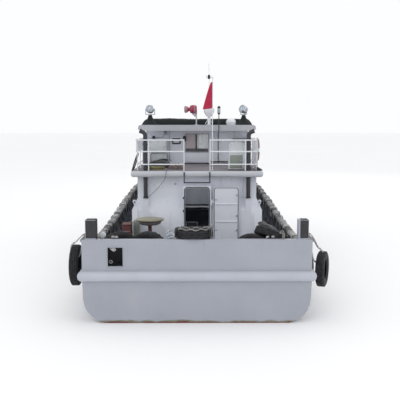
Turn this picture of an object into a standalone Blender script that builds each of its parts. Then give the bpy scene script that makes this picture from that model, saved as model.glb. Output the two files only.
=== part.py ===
"""A steel traffic boat, about 20 m long, afloat, built from named pieces.

X is to starboard, Y is forward and Z is up. The water's surface is at Z = 0, and the
origin is amidships on the centre line. Distances along the boat are measured forward
from the transom, and along() turns them into Y.
"""

import math

import bmesh
import bpy
import numpy as np
from mathutils import Vector

GAP = 0.0003

# Hull
TRANSOM_Y = -10.0
WATERLINE_LENGTH = 19.0
HALF_BEAM = 2.70
BOW_START = 0.60
BOW_FULLNESS = (2.4, 0.72)
STEM_RAKE = 0.60
DECK_Z = 1.10
SHEER_START = 0.70
SHEER_RISE = 0.40
KEEL_Z = -0.95
TRANSOM_FOOT_Z = -0.12
RUN_LENGTH = 7.0
FOREFOOT_RISE = 0.55
SECTION_POWER = (4.5, 1.8)
SECTION_STEPS = 12
BODY_STATIONS = 9
BOW_STATIONS = 10
SKEG_HALF = 0.06
SKEG_Z = -1.05

# Bulwark and rubbing strake
PLATE = 0.035
CAP_WIDTH = 0.11
CAP_HEIGHT = 0.05
TRANSOM_TOP_Z = 1.99
SIDE_TOP_Z = 1.58
SIDE_RISE, SIDE_CURVE = 0.87, 1.3
STEP_START, STEP_END = 0.9, 1.7
STEP_DISTANCES = (0.9, 1.1, 1.3, 1.5, 1.7)
STERN_PLATE = 0.045
STAY_COUNT = 10
FREEING_PORT = (-2.094, -1.741, 1.365, 1.812)
POST_X, POST_SIDE, POST_TOP_Z = 2.49, 0.24, 2.46
STRAKE_Z = (1.00, 1.25)
STRAKE_OUT = 0.12

# Forepeak hatch
LID_BARRELS = (-0.22, 0.22)
LID_BARREL_HALF = 0.05
LID_HINGE_D, LID_HINGE_Z = 14.925, 1.45

# Deckhouse
HOUSE_AFT, HOUSE_FORE = 3.42, 12.40
HOUSE_STEP = 0.20
HOUSE_HALF, HOUSE_UPPER_HALF = 1.85, 1.70
SHOULDER_Z = (2.25, 2.58)
WALL = 0.07
UPPER_DECK_Z = (3.19, 3.37)
UPPER_DECK_HALF = 1.87
UPPER_DECK_ENDS = (3.30, 12.60)
DOOR_HALF = 0.343
LEAF_HALF = 0.361
LUG_X = 0.372
DOOR_FRAME_HALF = 0.40
DOORWAY_Z = (1.25, 2.89)
DOOR_FRAME_FACE = 3.36
DOOR_HINGE_X = 0.412
DOOR_HINGE_D = 3.325
DOOR_LEAF = 0.045
HINGE_HEIGHTS = (1.62, 2.44)
FRONT_FRAME_FACE = HOUSE_FORE + 0.06
FRONT_HINGE_D = FRONT_FRAME_FACE + 0.035
BULKHEAD_D = 5.30
BULKHEAD_OPENING_Z = 2.08
ENGINE_ROOM = (4.30, 8.40, 1.45, -0.50)

# Wheelhouse
WHEELHOUSE = (6.70, 9.90)
WHEELHOUSE_HALF = 1.68
WELL_HALF = 1.55
WELL_FLOOR_Z = 2.45
ROOF_Z = (4.46, 4.65)
ROOF_HALF = 1.90
ROOF_ENDS = (6.10, 10.50)
COVER_TOP_Z = 4.84
AFT_WINDOW = (-0.39, 0.38, 3.75, 4.35)
LAMP_X, LAMP_D, LAMP_BASE_Z = 1.52, 6.42, 4.97
FLAGSTAFF_X, FLAGSTAFF_D, FLAGSTAFF_RADIUS = 0.44, 3.62, 0.012
FLAG_LEVELS = ((5.07, 0.26, 0.05), (5.30, 0.22, 0.055), (5.62, 0.12, 0.045), (5.86, 0.04, 0.02))
HELM_Z, HELM_D = 3.25, 8.98
SEAT_D = 7.95

# Railing on the upper deck
RAIL_D = 3.36
RAIL_X = 1.69
RAIL_HEIGHTS = (3.55, 3.91, 4.23)
RAIL_RADIUS = 0.019
GATE_HALF = 0.355

# Exhaust pipes
PIPE_X, PIPE_D, PIPE_RADIUS = 1.46, 3.475, 0.06
PIPE_FOOT_Z, PIPE_BEND_Z, PIPE_TIP_Z = 2.56, 4.36, 4.54

# Tyres
ROW_TYRE = (0.40, 0.20)
ROW_COUNT = 16
ROW_START, ROW_PITCH = 1.95, 0.86
ROW_DROP = 0.30
BIG_TYRE = (0.515, 0.24)
FLAT_TYRE = (0.45, 0.22)
PROP_TYRE = (0.482, 0.20)
LOW_TYRE = (0.50, 0.22)
TURNED_TYRE = (0.45, 0.24)
TYRE_SEGMENTS = 12
TYRE_FLAT = math.cos(math.pi / TYRE_SEGMENTS)

# Stern gear
SHAFT_X, SHAFT_Z = 1.15, -0.66
BOSS_AFT = 1.80
BLADE_STATIONS = ((0.06, 0.13, 62), (0.16, 0.21, 42), (0.28, 0.23, 30), (0.352, 0.10, 25))
BLADE_SECTION = ((-0.5, 0.2), (0.0, 0.5), (0.5, 0.2), (0.5, -0.2), (0.0, -0.5), (-0.5, -0.2))
BLADE_THICKNESS = 0.024
RUDDER_D = 1.05
RUDDER_STOCK = (0.036, 0.56)
TRUNK_Z = -0.26

WHITE = (0.80, 0.81, 0.85)
CHARCOAL = (0.05, 0.05, 0.055)
RUBBER = (0.022, 0.022, 0.025)


def along(distance):
    """Y of a point this far forward of the transom."""
    return TRANSOM_Y + distance


# Scene and object helpers


def clear_scene():
    for obj in list(bpy.data.objects):
        bpy.data.objects.remove(obj, do_unlink=True)


def material(name, colour, roughness, metallic=0.0):
    made = bpy.data.materials.new(name)
    made.use_nodes = True
    shader = made.node_tree.nodes["Principled BSDF"]
    shader.inputs["Base Color"].default_value = (*colour, 1.0)
    shader.inputs["Roughness"].default_value = roughness
    shader.inputs["Metallic"].default_value = metallic
    return made


def object_from(name, points, faces, finish=None):
    """An object from a list of points and faces, with its normals turned outwards."""
    mesh = bpy.data.meshes.new(name)
    mesh.from_pydata([tuple(point) for point in points], [], faces)
    shape = bmesh.new()
    shape.from_mesh(mesh)
    bmesh.ops.remove_doubles(shape, verts=shape.verts, dist=1e-6)
    bmesh.ops.recalc_face_normals(shape, faces=shape.faces)
    shape.to_mesh(mesh)
    shape.free()
    obj = bpy.data.objects.new(name, mesh)
    bpy.context.scene.collection.objects.link(obj)
    if finish:
        mesh.materials.append(finish)
    return obj


def hide(obj):
    """Keeps a joining or cutting shape out of view."""
    obj.hide_render = True
    obj.display_type = "WIRE"


def combine(target, helpers, operation):
    """Adds the helpers to the target, or cuts them from it, with one exact Boolean."""
    group = bpy.data.collections.new(f"{target.name}_{operation.lower()}")
    bpy.context.scene.collection.children.link(group)
    for helper in helpers:
        bpy.context.scene.collection.objects.unlink(helper)
        group.objects.link(helper)
        hide(helper)
    step = target.modifiers.new(operation.title(), "BOOLEAN")
    step.operation = operation
    step.solver = "EXACT"
    step.operand_type = "COLLECTION"
    step.collection = group
    return target


def join(target, *helpers):
    return combine(target, helpers, "UNION")


def cut(target, *helpers):
    return combine(target, helpers, "DIFFERENCE")


# Shapes


def grid_faces(rows, columns, closed=True):
    """Quads between neighbouring rows of a grid of points, each row a loop if closed."""
    last = columns if closed else columns - 1
    return [
        (
            row * columns + column,
            row * columns + (column + 1) % columns,
            (row + 1) * columns + (column + 1) % columns,
            (row + 1) * columns + column,
        )
        for row in range(rows - 1)
        for column in range(last)
    ]


def loft(name, rings, finish=None):
    """A closed body through a list of rings of points, each end filled."""
    columns = len(rings[0])
    points = [point for ring in rings for point in ring]
    faces = grid_faces(len(rings), columns)
    first = (len(rings) - 1) * columns
    faces.append(tuple(range(columns)))
    faces.append(tuple(range(first, first + columns)))
    return object_from(name, points, faces, finish)


def block(name, x_range, d_range, z_range, finish=None, taper=0.0):
    """A box between two values of X, of the distance from the transom, and of Z."""
    rings = []
    for z, inset in zip(z_range, (0.0, taper)):
        (x0, x1), (d0, d1) = x_range, d_range
        rings.append(
            [
                (x0 + inset, along(d0 + inset), z),
                (x1 - inset, along(d0 + inset), z),
                (x1 - inset, along(d1 - inset), z),
                (x0 + inset, along(d1 - inset), z),
            ]
        )
    return loft(name, rings, finish)


def side_prism(name, x_range, outline, finish=None):
    """An outline in distance and Z, carried across from one X to another."""
    rings = [[(x, along(d), z) for d, z in outline] for x in x_range]
    return loft(name, rings, finish)


def rounded(obj, width, segments=2, angle=50):
    """Rounds an object's sharp edges."""
    bevel = obj.modifiers.new("Rounding", "BEVEL")
    bevel.width = width
    bevel.segments = segments
    bevel.limit_method = "ANGLE"
    bevel.angle_limit = math.radians(angle)
    return obj


def circle(radius, sides, start=0.0):
    return [
        (
            radius * math.cos(start + 2 * math.pi * step / sides),
            radius * math.sin(start + 2 * math.pi * step / sides),
        )
        for step in range(sides)
    ]


def turned(name, profile, centre, axis, sides=12, finish=None):
    """A profile of (radius, height) pairs turned about an axis through the centre."""
    turn = Vector((0, 0, 1)).rotation_difference(Vector(axis)).to_matrix()
    rings = []
    for radius, height in profile:
        ring = [turn @ Vector((x, y, height)) for x, y in circle(radius, sides)]
        rings.append([Vector(centre) + point for point in ring])
    return loft(name, rings, finish)


def tube(name, path, radius, sides=8, finish=None):
    """A round bar along a path of points, mitred at each bend."""
    path = [Vector(point) for point in path]
    legs = [(after - before).normalized() for before, after in zip(path, path[1:])]
    side = legs[0].orthogonal().normalized()
    rings = []
    for index, point in enumerate(path):
        before = legs[max(index - 1, 0)]
        after = legs[min(index, len(legs) - 1)]
        if index:
            side = before.rotation_difference(legs[index - 1]) @ side
        across = before.cross(side).normalized()
        middle = (before + after).normalized()
        ring = []
        for x, y in circle(radius, sides, math.pi / sides):
            offset = side * x + across * y
            slide = -offset.dot(middle) / before.dot(middle)
            ring.append(point + offset + before * slide)
        rings.append(ring)
        side = before.rotation_difference(after) @ side
    return loft(name, rings, finish)


def sweep(name, path, profile, finish=None):
    """A profile of (outward, Z) pairs carried along a path of (X, Y, outward X, outward Y, Z)."""
    rings = [
        [(x + out * nx, y + out * ny, z + up) for out, up in profile]
        for x, y, nx, ny, z in path
    ]
    return loft(name, rings, finish)


# Hull form


def bow_share(u):
    """How far a station lies into the bow: 0 up to where the bow starts, 1 at the stem."""
    return max(0.0, (u - BOW_START) / (1 - BOW_START))


def deck_z(u):
    rise = max(0.0, (u - SHEER_START) / (1 - SHEER_START))
    return DECK_Z + SHEER_RISE * rise**2


def keel_z(u):
    distance = u * WATERLINE_LENGTH
    z = KEEL_Z + FOREFOOT_RISE * bow_share(u) ** 3
    if distance < RUN_LENGTH:
        run = 0.5 * (1 + math.cos(math.pi * distance / RUN_LENGTH))
        z += (TRANSOM_FOOT_Z - KEEL_Z) * run
    return z


def half_breadth(u):
    power, root = BOW_FULLNESS
    return HALF_BEAM * max(0.0, 1 - bow_share(u) ** power) ** root


def station_y(u, z):
    return along(u * WATERLINE_LENGTH + STEM_RAKE * z * bow_share(u) ** 2)


def station_of(distance):
    return distance / WATERLINE_LENGTH


def hull_section(u):
    """The half section from keel to deck edge, a superellipse that sharpens to the bow."""
    blunt, sharp = SECTION_POWER
    power = 2 / (blunt + (sharp - blunt) * bow_share(u) ** 0.8)
    depth = deck_z(u) - keel_z(u)
    section = []
    for step in range(SECTION_STEPS + 1):
        angle = math.pi / 2 * step / SECTION_STEPS
        x = half_breadth(u) * math.sin(angle) ** power
        z = deck_z(u) - depth * max(0.0, math.cos(angle)) ** power
        section.append((x, station_y(u, z), z))
    return section


def stations():
    body = np.linspace(0, BOW_START, BODY_STATIONS)
    bow = BOW_START + (1 - BOW_START) * np.sin(np.linspace(0, math.pi / 2, BOW_STATIONS))
    return [float(u) for u in [*body, *bow[1:]]]


def hull(finish):
    rings = []
    for u in stations():
        section = hull_section(u)
        port = [(-x, y, z) for x, y, z in reversed(section[1:])]
        rings.append(port + section)
    made = loft("hull", rings, finish)
    helpers = [skeg(), *hatch_coaming(), deck_pad("capstan_pad", 16.2, 0.28, 1.32)]
    helpers.append(deck_pad("bitts_pad", 17.15, 0.42, 1.42))
    for side in (-1, 1):
        helpers += stern_gear(side)
    join(made, *helpers)
    start, end, half, floor = ENGINE_ROOM
    well = block("engine_room_space", (-half, half), (start, end), (floor, 2.0))
    hatch = block("hatch_space", (-0.29, 0.29), (14.26, 14.84), (0.4, 2.0))
    return cut(made, well, hatch)


def skeg():
    outline = [(2.7, 0.0), (2.9, SKEG_Z), (8.6, SKEG_Z), (10.2, KEEL_Z), (10.2, 0.0)]
    return side_prism("skeg", (-SKEG_HALF, SKEG_HALF), outline)


def hatch_coaming():
    """The forepeak hatch's raised frame and the four lugs that hold its lid's barrels."""
    pieces = [block("hatch_coaming", (-0.34, 0.34), (14.21, 14.89), (0.9, 1.42))]
    for x in LID_BARRELS:
        for side in (-1, 1):
            near, far = x + side * (LID_BARREL_HALF + GAP), x + side * (LID_BARREL_HALF + 0.025)
            x_range = tuple(sorted((near, far)))
            name = f"lid_lug_{x}_{side}"
            pieces.append(block(name, x_range, (14.88, 14.945), (1.34, 1.412)))
            pieces.append(block(f"{name}_ear", x_range, (14.906, 14.944), (1.36, 1.472)))
    return pieces


def deck_pad(name, distance, radius, top_z):
    profile = [(radius, 0.9), (radius, top_z)]
    return turned(name, profile, (0, along(distance), 0), (0, 0, 1), 12)


def stern_gear(side):
    """The fixed shaft tube with its strut, and the rudder's trunk, on one side."""
    centre = (side * SHAFT_X, along(BOSS_AFT), SHAFT_Z)
    profile = [(0.10, 0.0), (0.10, 0.32), (0.065, 0.42), (0.065, 3.4)]
    shaft = turned(f"shaft_tube_{side}", profile, centre, (0, 1, 0), 12)
    x_range = (side * SHAFT_X - 0.022, side * SHAFT_X + 0.022)
    outline = [(1.86, SHAFT_Z), (2.08, SHAFT_Z), (2.24, 0.1), (1.94, 0.1)]
    strut = side_prism(f"strut_{side}", x_range, outline)
    foot = (side * SHAFT_X, along(RUDDER_D), TRUNK_Z)
    trunk = turned(f"trunk_{side}", [(0.08, 0.0), (0.08, 0.5)], foot, (0, 0, 1), 12)
    return [shaft, strut, trunk]


# Bulwark and rubbing strake


def side_top_z(distance):
    """Height of the side bulwark: low amidships, stepping up aft and rising to the bow."""
    forward = max(0.0, (distance - 5) / 15)
    top = SIDE_TOP_Z + SIDE_RISE * forward**SIDE_CURVE
    share = min(1.0, max(0.0, (STEP_END - distance) / (STEP_END - STEP_START)))
    return top + (TRANSOM_TOP_Z - CAP_HEIGHT - top) * share * share * (3 - 2 * share)


def edge_normal(u, side):
    """Outward direction of the deck edge in plan at a station."""
    step = 1e-3
    low, high = max(0.0, u - step), min(1.0, u + step)
    dx = half_breadth(high) - half_breadth(low)
    dy = station_y(high, deck_z(high)) - station_y(low, deck_z(low))
    length = math.hypot(dx, dy)
    return side * dy / length, -dx / length


def bulwark_side(side, finish):
    """One side's plate with its cap rail and stays, from the quarter to the stem."""
    name = "bulwark_starboard" if side > 0 else "bulwark_port"
    quarter = [station_of(distance) for distance in (STERN_PLATE + GAP, *STEP_DISTANCES)]
    stops = quarter + stations()[2:-1]
    cap_out = (CAP_WIDTH - PLATE) / 2
    rings = []
    for u in stops:
        nx, ny = edge_normal(u, side)
        low = deck_z(u) + GAP
        top = side_top_z(u * WATERLINE_LENGTH)
        x, y = side * half_breadth(u), station_y(u, deck_z(u))
        corners = [
            (0.0, low),
            (0.0, top),
            (cap_out, top),
            (cap_out, top + CAP_HEIGHT),
            (-cap_out - PLATE, top + CAP_HEIGHT),
            (-cap_out - PLATE, top),
            (-PLATE, top),
            (-PLATE, low),
        ]
        ring = []
        for out, z in corners:
            from_centre = max(0.002, side * (x + nx * out))
            ring.append((side * from_centre, y + ny * out, z))
        rings.append(ring)
    rings.append(stem_ring(side, stops[-1], [out for out, _ in corners]))
    made = loft(name, rings, finish)
    return join(made, *bulwark_stays(side))


def stem_ring(side, last_stop, outs):
    """The bulwark's section on the centre line, where the two sides meet over the stem."""
    _, ny = edge_normal(last_stop, side)
    low = deck_z(1) + GAP
    top = side_top_z(WATERLINE_LENGTH)
    heights = (low, top, top, top + CAP_HEIGHT, top + CAP_HEIGHT, top, top, low)
    y = station_y(1, deck_z(1))
    return [(side * GAP / 2, y + out / ny, z) for out, z in zip(outs, heights)]


def bulwark_stays(side):
    """Triangular stays that hold the plate up from the deck, one about every metre."""
    stays = []
    for index in range(STAY_COUNT):
        distance = 2.2 + 1.05 * index
        u = station_of(distance)
        x = side * (half_breadth(u) - PLATE / 2)
        low = deck_z(u) + GAP
        top = side_top_z(distance) + 0.01
        y = station_y(u, low)
        outline = [(0.0, low), (0.20, low), (0.0, top)]
        rings = [[(x - side * out, y + shift, z) for out, z in outline] for shift in (-0.01, 0.01)]
        stays.append(loft(f"stay_{side}_{index}", rings))
    return stays


def transom_bulwark(finish):
    """The flat plate across the stern, its cap and the square posts on its corners."""
    half = HALF_BEAM
    plate = block(
        "bulwark_transom", (-half, half), (0, STERN_PLATE), (DECK_Z + GAP, TRANSOM_TOP_Z), finish
    )
    cap_half = half - CAP_WIDTH
    cap_z = (TRANSOM_TOP_Z - CAP_HEIGHT, TRANSOM_TOP_Z + 0.012)
    cap = block("stern_cap", (-cap_half, cap_half), (0.001, 0.12), cap_z)
    helpers = [cap]
    for side in (-1, 1):
        x_range = (side * POST_X - POST_SIDE / 2, side * POST_X + POST_SIDE / 2)
        helpers.append(block(f"post_{side}", x_range, (0.02, 0.26), (DECK_Z + 0.001, POST_TOP_Z)))
        flange = (x_range[0] - 0.014, x_range[1] + 0.014)
        helpers.append(
            block(f"flange_{side}", flange, (0.005, 0.29), (TRANSOM_TOP_Z + 0.005, TRANSOM_TOP_Z + 0.03))
        )
    join(plate, *helpers)
    x0, x1, z0, z1 = FREEING_PORT
    return cut(plate, block("freeing_port", (x0, x1), (-0.1, 0.3), (z0, z1)))


def strake_path():
    """Deck edge from the stem down the port side, round the stern and up the other side."""
    path = []
    for u in reversed([station_of(0.3), *stations()[1:-2]]):
        nx, ny = edge_normal(u, -1)
        path.append((-half_breadth(u), station_y(u, deck_z(u)), nx, ny, deck_z(u) - DECK_Z))
    for angle in (0, 30, 60, 90):
        turn = math.radians(angle)
        path.append((-HALF_BEAM, along(0), -math.cos(turn), -math.sin(turn), 0.0))
    mirrored = [(-x, y, -nx, ny, z) for x, y, nx, ny, z in reversed(path)]
    return path + mirrored


def rubbing_strake(finish):
    low, high = STRAKE_Z
    middle, half = (low + high) / 2, (high - low) / 2
    profile = []
    for angle in np.linspace(-90, 90, 7):
        turn = math.radians(angle)
        profile.append((2 * GAP + STRAKE_OUT * math.cos(turn), middle + half * math.sin(turn)))
    return sweep("rubbing_strake", strake_path(), profile, finish)


# Tyres


def tyre(name, size, centre, axis, finish=None):
    """A tyre as a ring: tread, sidewalls and bead turned about its axis."""
    radius, width = size
    profile = [
        (radius, -0.36 * width),
        (radius, 0.36 * width),
        (0.80 * radius, 0.5 * width),
        (0.56 * radius, 0.0),
        (0.80 * radius, -0.5 * width),
    ]
    axis = Vector(axis).normalized()
    level = Vector((-axis.y, axis.x, 0)) if abs(axis.z) < 0.999 else Vector((1, 0, 0))
    level.normalize()
    upward = axis.cross(level)
    rings = []
    for x, y in circle(1.0, TYRE_SEGMENTS, math.pi / TYRE_SEGMENTS):
        spoke = level * x + upward * y
        rings.append([Vector(centre) + spoke * r + axis * h for r, h in profile])
    points = [point for ring in rings for point in ring]
    columns = len(profile)
    faces = grid_faces(TYRE_SEGMENTS, columns)
    last = (TYRE_SEGMENTS - 1) * columns
    for column in range(columns):
        following = (column + 1) % columns
        faces.append((last + column, last + following, following, column))
    return object_from(name, points, faces, finish)


def row_place(index, side):
    """Where a hanging tyre of the side row sits: its centre and its outward direction."""
    radius, width = ROW_TYRE
    distance = ROW_START + ROW_PITCH * index
    u = station_of(distance)
    nx, ny = edge_normal(u, side)
    out = STRAKE_OUT + 3 * GAP + width / 2
    top = side_top_z(distance) + CAP_HEIGHT - ROW_DROP
    centre_z = top - radius
    centre = (side * half_breadth(u) + nx * out, station_y(u, deck_z(u)) + ny * out, centre_z)
    return centre, (nx, ny, 0)


def tyre_row(side, finish):
    """The tyres hung along one side, strung on the line that carries them."""
    name = "tyre_row_starboard" if side > 0 else "tyre_row_port"
    tyres, line = [], []
    for index in range(ROW_COUNT):
        centre, outward = row_place(index, side)
        piece_name = name if index == 0 else f"{name}_{index}"
        tyres.append(tyre(piece_name, ROW_TYRE, centre, outward, finish if index == 0 else None))
        line.append((centre[0], centre[1], centre[2] + 0.78 * ROW_TYRE[0]))
    carrier = tube(f"{name}_line", line, 0.018, 4)
    return join(tyres[0], carrier, *tyres[1:])


def quarter_tyre(side, finish):
    """The large tyre that hangs outside each quarter."""
    name = "quarter_tyre_starboard" if side > 0 else "quarter_tyre_port"
    if side < 0:
        centre = (-(HALF_BEAM + STRAKE_OUT + 3 * GAP + BIG_TYRE[1] / 2), along(0.62), 1.27)
        return tyre(name, BIG_TYRE, centre, (-1, 0, 0), finish)
    turn = math.radians(20)
    centre = (HALF_BEAM + STRAKE_OUT + 0.2326, along(0.60), 1.17)
    return tyre(name, TURNED_TYRE, centre, (math.cos(turn), -math.sin(turn), 0), finish)


def deck_tyres(finish):
    """The spare tyres heaped behind the stern bulwark, in three groups."""
    radius, width = BIG_TYRE
    stand_z = DECK_Z + GAP + radius * TYRE_FLAT

    def facing(degrees):
        turn = math.radians(degrees)
        return (math.sin(turn), -math.cos(turn), 0)

    first = tyre("deck_tyres_port", BIG_TYRE, (-1.86, along(0.60), stand_z), facing(24), finish)
    second = tyre("port_second", BIG_TYRE, (-1.17, along(0.62), stand_z), facing(-20))
    join(first, second)
    flat_z = TRANSOM_TOP_Z + 0.012 + GAP + FLAT_TYRE[1] / 2
    flat = tyre("deck_tyres_centre", FLAT_TYRE, (-0.08, along(0.32), flat_z), (0, 0, 1), finish)
    prop_z = DECK_Z + GAP + PROP_TYRE[0] * TYRE_FLAT
    prop = tyre("centre_under", PROP_TYRE, (-0.08, along(0.67), prop_z), facing(4))
    join(flat, prop)
    base_at = (1.80, along(0.93), DECK_Z + GAP + width / 2)
    base = tyre("deck_tyres_starboard", BIG_TYRE, base_at, (0, 0, 1), finish)
    second_at = (1.84, along(0.91), DECK_Z + 1.5 * width + 0.025)
    second = tyre("starboard_second", BIG_TYRE, second_at, (-0.10, 0, 1))
    upper = tyre("starboard_upper", BIG_TYRE, (1.87, along(0.655), 1.945), (0.42, 0.25, 0.87))
    low_z = DECK_Z + GAP + LOW_TYRE[0] * TYRE_FLAT
    low = tyre("starboard_low", LOW_TYRE, (1.31, along(0.45), low_z), facing(-12))
    join(base, second, upper, low)
    return first, flat, base


# Deckhouse and wheelhouse


def ring_corners(level, inset):
    """The four corners of a house at one level, moved in by the inset."""
    z, half, start, end = level
    return [
        (-half + inset, along(start + inset), z),
        (half - inset, along(start + inset), z),
        (half - inset, along(end - inset), z),
        (-half + inset, along(end - inset), z),
    ]


def ring_wall(name, levels, side, thickness, finish):
    """One wall of a house, between two mitred corners, given the house's levels."""
    outer, inner = [], []
    for level in levels:
        for corners, inset in ((outer, 0.0), (inner, thickness)):
            ring = ring_corners(level, inset)
            start, end = Vector(ring[side]), Vector(ring[(side + 1) % 4])
            nudge = (end - start).normalized() * (GAP / 2)
            corners.append((start + nudge, end - nudge))
    rings = []
    for (outer_start, outer_end), (inner_start, inner_end) in zip(outer, inner):
        rings.append([outer_start, outer_end, inner_end, inner_start])
    return loft(name, rings, finish)


def house_levels():
    low, high = SHOULDER_Z
    lower = (HOUSE_HALF, HOUSE_AFT, HOUSE_FORE)
    upper = (HOUSE_UPPER_HALF, HOUSE_AFT + HOUSE_STEP, HOUSE_FORE - HOUSE_STEP)
    return [
        (DECK_Z + GAP, *lower),
        (low, *lower),
        (high, *upper),
        (UPPER_DECK_Z[0] - GAP, *upper),
    ]


def door_cutter(name, half, z_range, d_range):
    """A doorway with rounded corners, as a space to cut."""
    low, high = z_range
    corner = 0.09
    outline = []
    for sx, sz, start in ((1, 1, 0), (-1, 1, 90), (-1, -1, 180), (1, -1, 270)):
        cx = sx * (half - corner)
        cz = (high - corner) if sz > 0 else (low + corner)
        for angle in (0, 30, 60, 90):
            turn = math.radians(start + angle)
            outline.append((cx + corner * math.cos(turn), cz + corner * math.sin(turn)))
    rings = [[(x, along(d), z) for x, z in outline] for d in d_range]
    return loft(name, rings)


def hinge_lug(name, d_range, z):
    """A lug on the frame that carries one hinge barrel on its top."""
    return block(name, (LUG_X, DOOR_HINGE_X + 0.02), d_range, (z - 0.05, z))


def house_walls(finish):
    levels = house_levels()
    aft = ring_wall("deckhouse_aft_wall", levels, 0, WALL, finish)
    frame_z = (DECK_Z + GAP, DOORWAY_Z[1] + 0.06)
    frame = block(
        "aft_frame", (-DOOR_FRAME_HALF, DOOR_FRAME_HALF), (DOOR_FRAME_FACE, 3.68), frame_z
    )
    helpers = [frame]
    for z in HINGE_HEIGHTS:
        helpers.append(hinge_lug(f"lug_{z}", (DOOR_HINGE_D - 0.02, DOOR_HINGE_D + 0.05), z))
    for side in (-1, 1):
        x_range = (side * PIPE_X - 0.085, side * PIPE_X + 0.085)
        helpers.append(block(f"pipe_step_{side}", x_range, (3.415, 3.65), (2.22, PIPE_FOOT_Z)))
    join(aft, *helpers)
    cut(aft, door_cutter("aft_doorway", DOOR_HALF, DOORWAY_Z, (3.2, 3.9)))
    starboard = ring_wall("deckhouse_starboard_wall", levels, 1, WALL, finish)
    port = ring_wall("deckhouse_port_wall", levels, 3, WALL, finish)
    for wall, side in ((starboard, 1), (port, -1)):
        windows = []
        for index in range(5):
            start = 5.75 + 1.25 * index
            x_range = sorted((side * 1.5, side * 2.0))
            windows.append(
                block(f"window_{side}_{index}", x_range, (start, start + 0.75), (2.70, 3.06))
            )
        cut(wall, *windows)
    front = ring_wall("deckhouse_front_wall", levels, 2, WALL, finish)
    join(front, *front_door_frame())
    front_spaces = [door_cutter("front_doorway", DOOR_HALF, DOORWAY_Z, (11.9, 12.7))]
    for side in (-1, 1):
        x_range = sorted((side * 0.75, side * 1.35))
        front_spaces.append(block(f"front_window_{side}", x_range, (11.9, 12.7), (2.70, 3.06)))
    cut(front, *front_spaces)
    return aft, starboard, front, port


def front_door_frame():
    frame_z = (DECK_Z + GAP, DOORWAY_Z[1] + 0.06)
    frame = block(
        "front_frame",
        (-DOOR_FRAME_HALF, DOOR_FRAME_HALF),
        (12.14, FRONT_FRAME_FACE),
        frame_z,
    )
    lug_d = (FRONT_HINGE_D - 0.05, FRONT_HINGE_D + 0.02)
    return [frame, *[hinge_lug(f"front_lug_{z}", lug_d, z) for z in HINGE_HEIGHTS]]


def door_leaf(name, x_range, d_range, hinge, finish):
    """A steel door: rounded leaf with ribs, and barrels about its hinge's axis."""
    (x0, x1), (d0, d1) = x_range, d_range
    z0, z1 = DOORWAY_Z[0] + 0.015, DOORWAY_Z[1] + 0.02
    half, middle = (x1 - x0) / 2, (x0 + x1) / 2
    leaf = door_cutter(name, half, (z0, z1), (d0, d1))
    for vertex in leaf.data.vertices:
        vertex.co.x += middle
    leaf.data.materials.append(finish)
    hinge_x, hinge_d = hinge
    barrel = [(0.018, 0), (0.018, 0.12)]
    helpers = []
    for z in HINGE_HEIGHTS:
        centre = (hinge_x, along(hinge_d), z + GAP)
        helpers.append(turned(f"{name}_barrel_{z}", barrel, centre, (0, 0, 1), 10))
        near = x0 if abs(x0 - hinge_x) < abs(x1 - hinge_x) else x1
        inward = 0.06 if near == x0 else -0.06
        x_span = sorted((hinge_x, near + inward))
        d_span = sorted((hinge_d - 0.006, hinge_d + 0.006))
        if not d0 <= hinge_d <= d1:
            d_span = sorted((hinge_d, (d0 + d1) / 2))
        helpers.append(
            block(f"{name}_strap_{z}", x_span, d_span, (z + GAP + 0.02, z + GAP + 0.10))
        )
    return join(leaf, *helpers)


def aft_door(finish):
    """Rests swung right back beside the doorway, as a mirror of its closed place."""
    closed = (DOOR_FRAME_FACE - 0.006 - DOOR_LEAF, DOOR_FRAME_FACE - 0.006)
    opened = sorted(2 * DOOR_HINGE_D - d for d in closed)
    x_range = (2 * DOOR_HINGE_X - LEAF_HALF, 2 * DOOR_HINGE_X + LEAF_HALF)
    return door_leaf("aft_door", x_range, opened, (DOOR_HINGE_X, DOOR_HINGE_D), finish)


def front_door(finish):
    d_range = (FRONT_FRAME_FACE + 0.006, FRONT_FRAME_FACE + 0.006 + DOOR_LEAF)
    x_range = (-LEAF_HALF, LEAF_HALF)
    return door_leaf("front_door", x_range, d_range, (DOOR_HINGE_X, FRONT_HINGE_D), finish)


def upper_deck(finish):
    half = UPPER_DECK_HALF
    slab = block("upper_deck", (-half, half), UPPER_DECK_ENDS, UPPER_DECK_Z, finish)
    rounded(slab, 0.07, 3)
    start, end = WHEELHOUSE
    spaces = [block("well_space", (-WELL_HALF, WELL_HALF), (start + 0.12, end - 0.12), (3.0, 3.6))]
    for side in (-1, 1):
        centre = (side * PIPE_X, along(PIPE_D), 3.0)
        profile = [(PIPE_RADIUS + 0.012, 0), (PIPE_RADIUS + 0.012, 0.6)]
        spaces.append(turned(f"pipe_hole_{side}", profile, centre, (0, 0, 1), 12))
    return cut(slab, *spaces)


def cabin_bulkhead(finish):
    """The partition inside the after doorway, open below where the steps go down."""
    half = HOUSE_UPPER_HALF - WALL - 2 * GAP
    d_range = (BULKHEAD_D, BULKHEAD_D + 0.05)
    plate = block(
        "cabin_bulkhead", (-half, half), d_range, (DECK_Z + GAP, UPPER_DECK_Z[0] - GAP), finish
    )
    space = block(
        "bulkhead_opening", (-0.48, 0.48), (5.2, 5.45), (DECK_Z - 0.1, BULKHEAD_OPENING_Z)
    )
    return cut(plate, space)


def cabin_floor(finish):
    start, end, half, _ = ENGINE_ROOM
    return block(
        "cabin_floor",
        (-half - 0.08, half + 0.08),
        (BULKHEAD_D + 0.06, end + 0.12),
        (DECK_Z + GAP, DECK_Z + 0.045),
        finish,
    )


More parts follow.
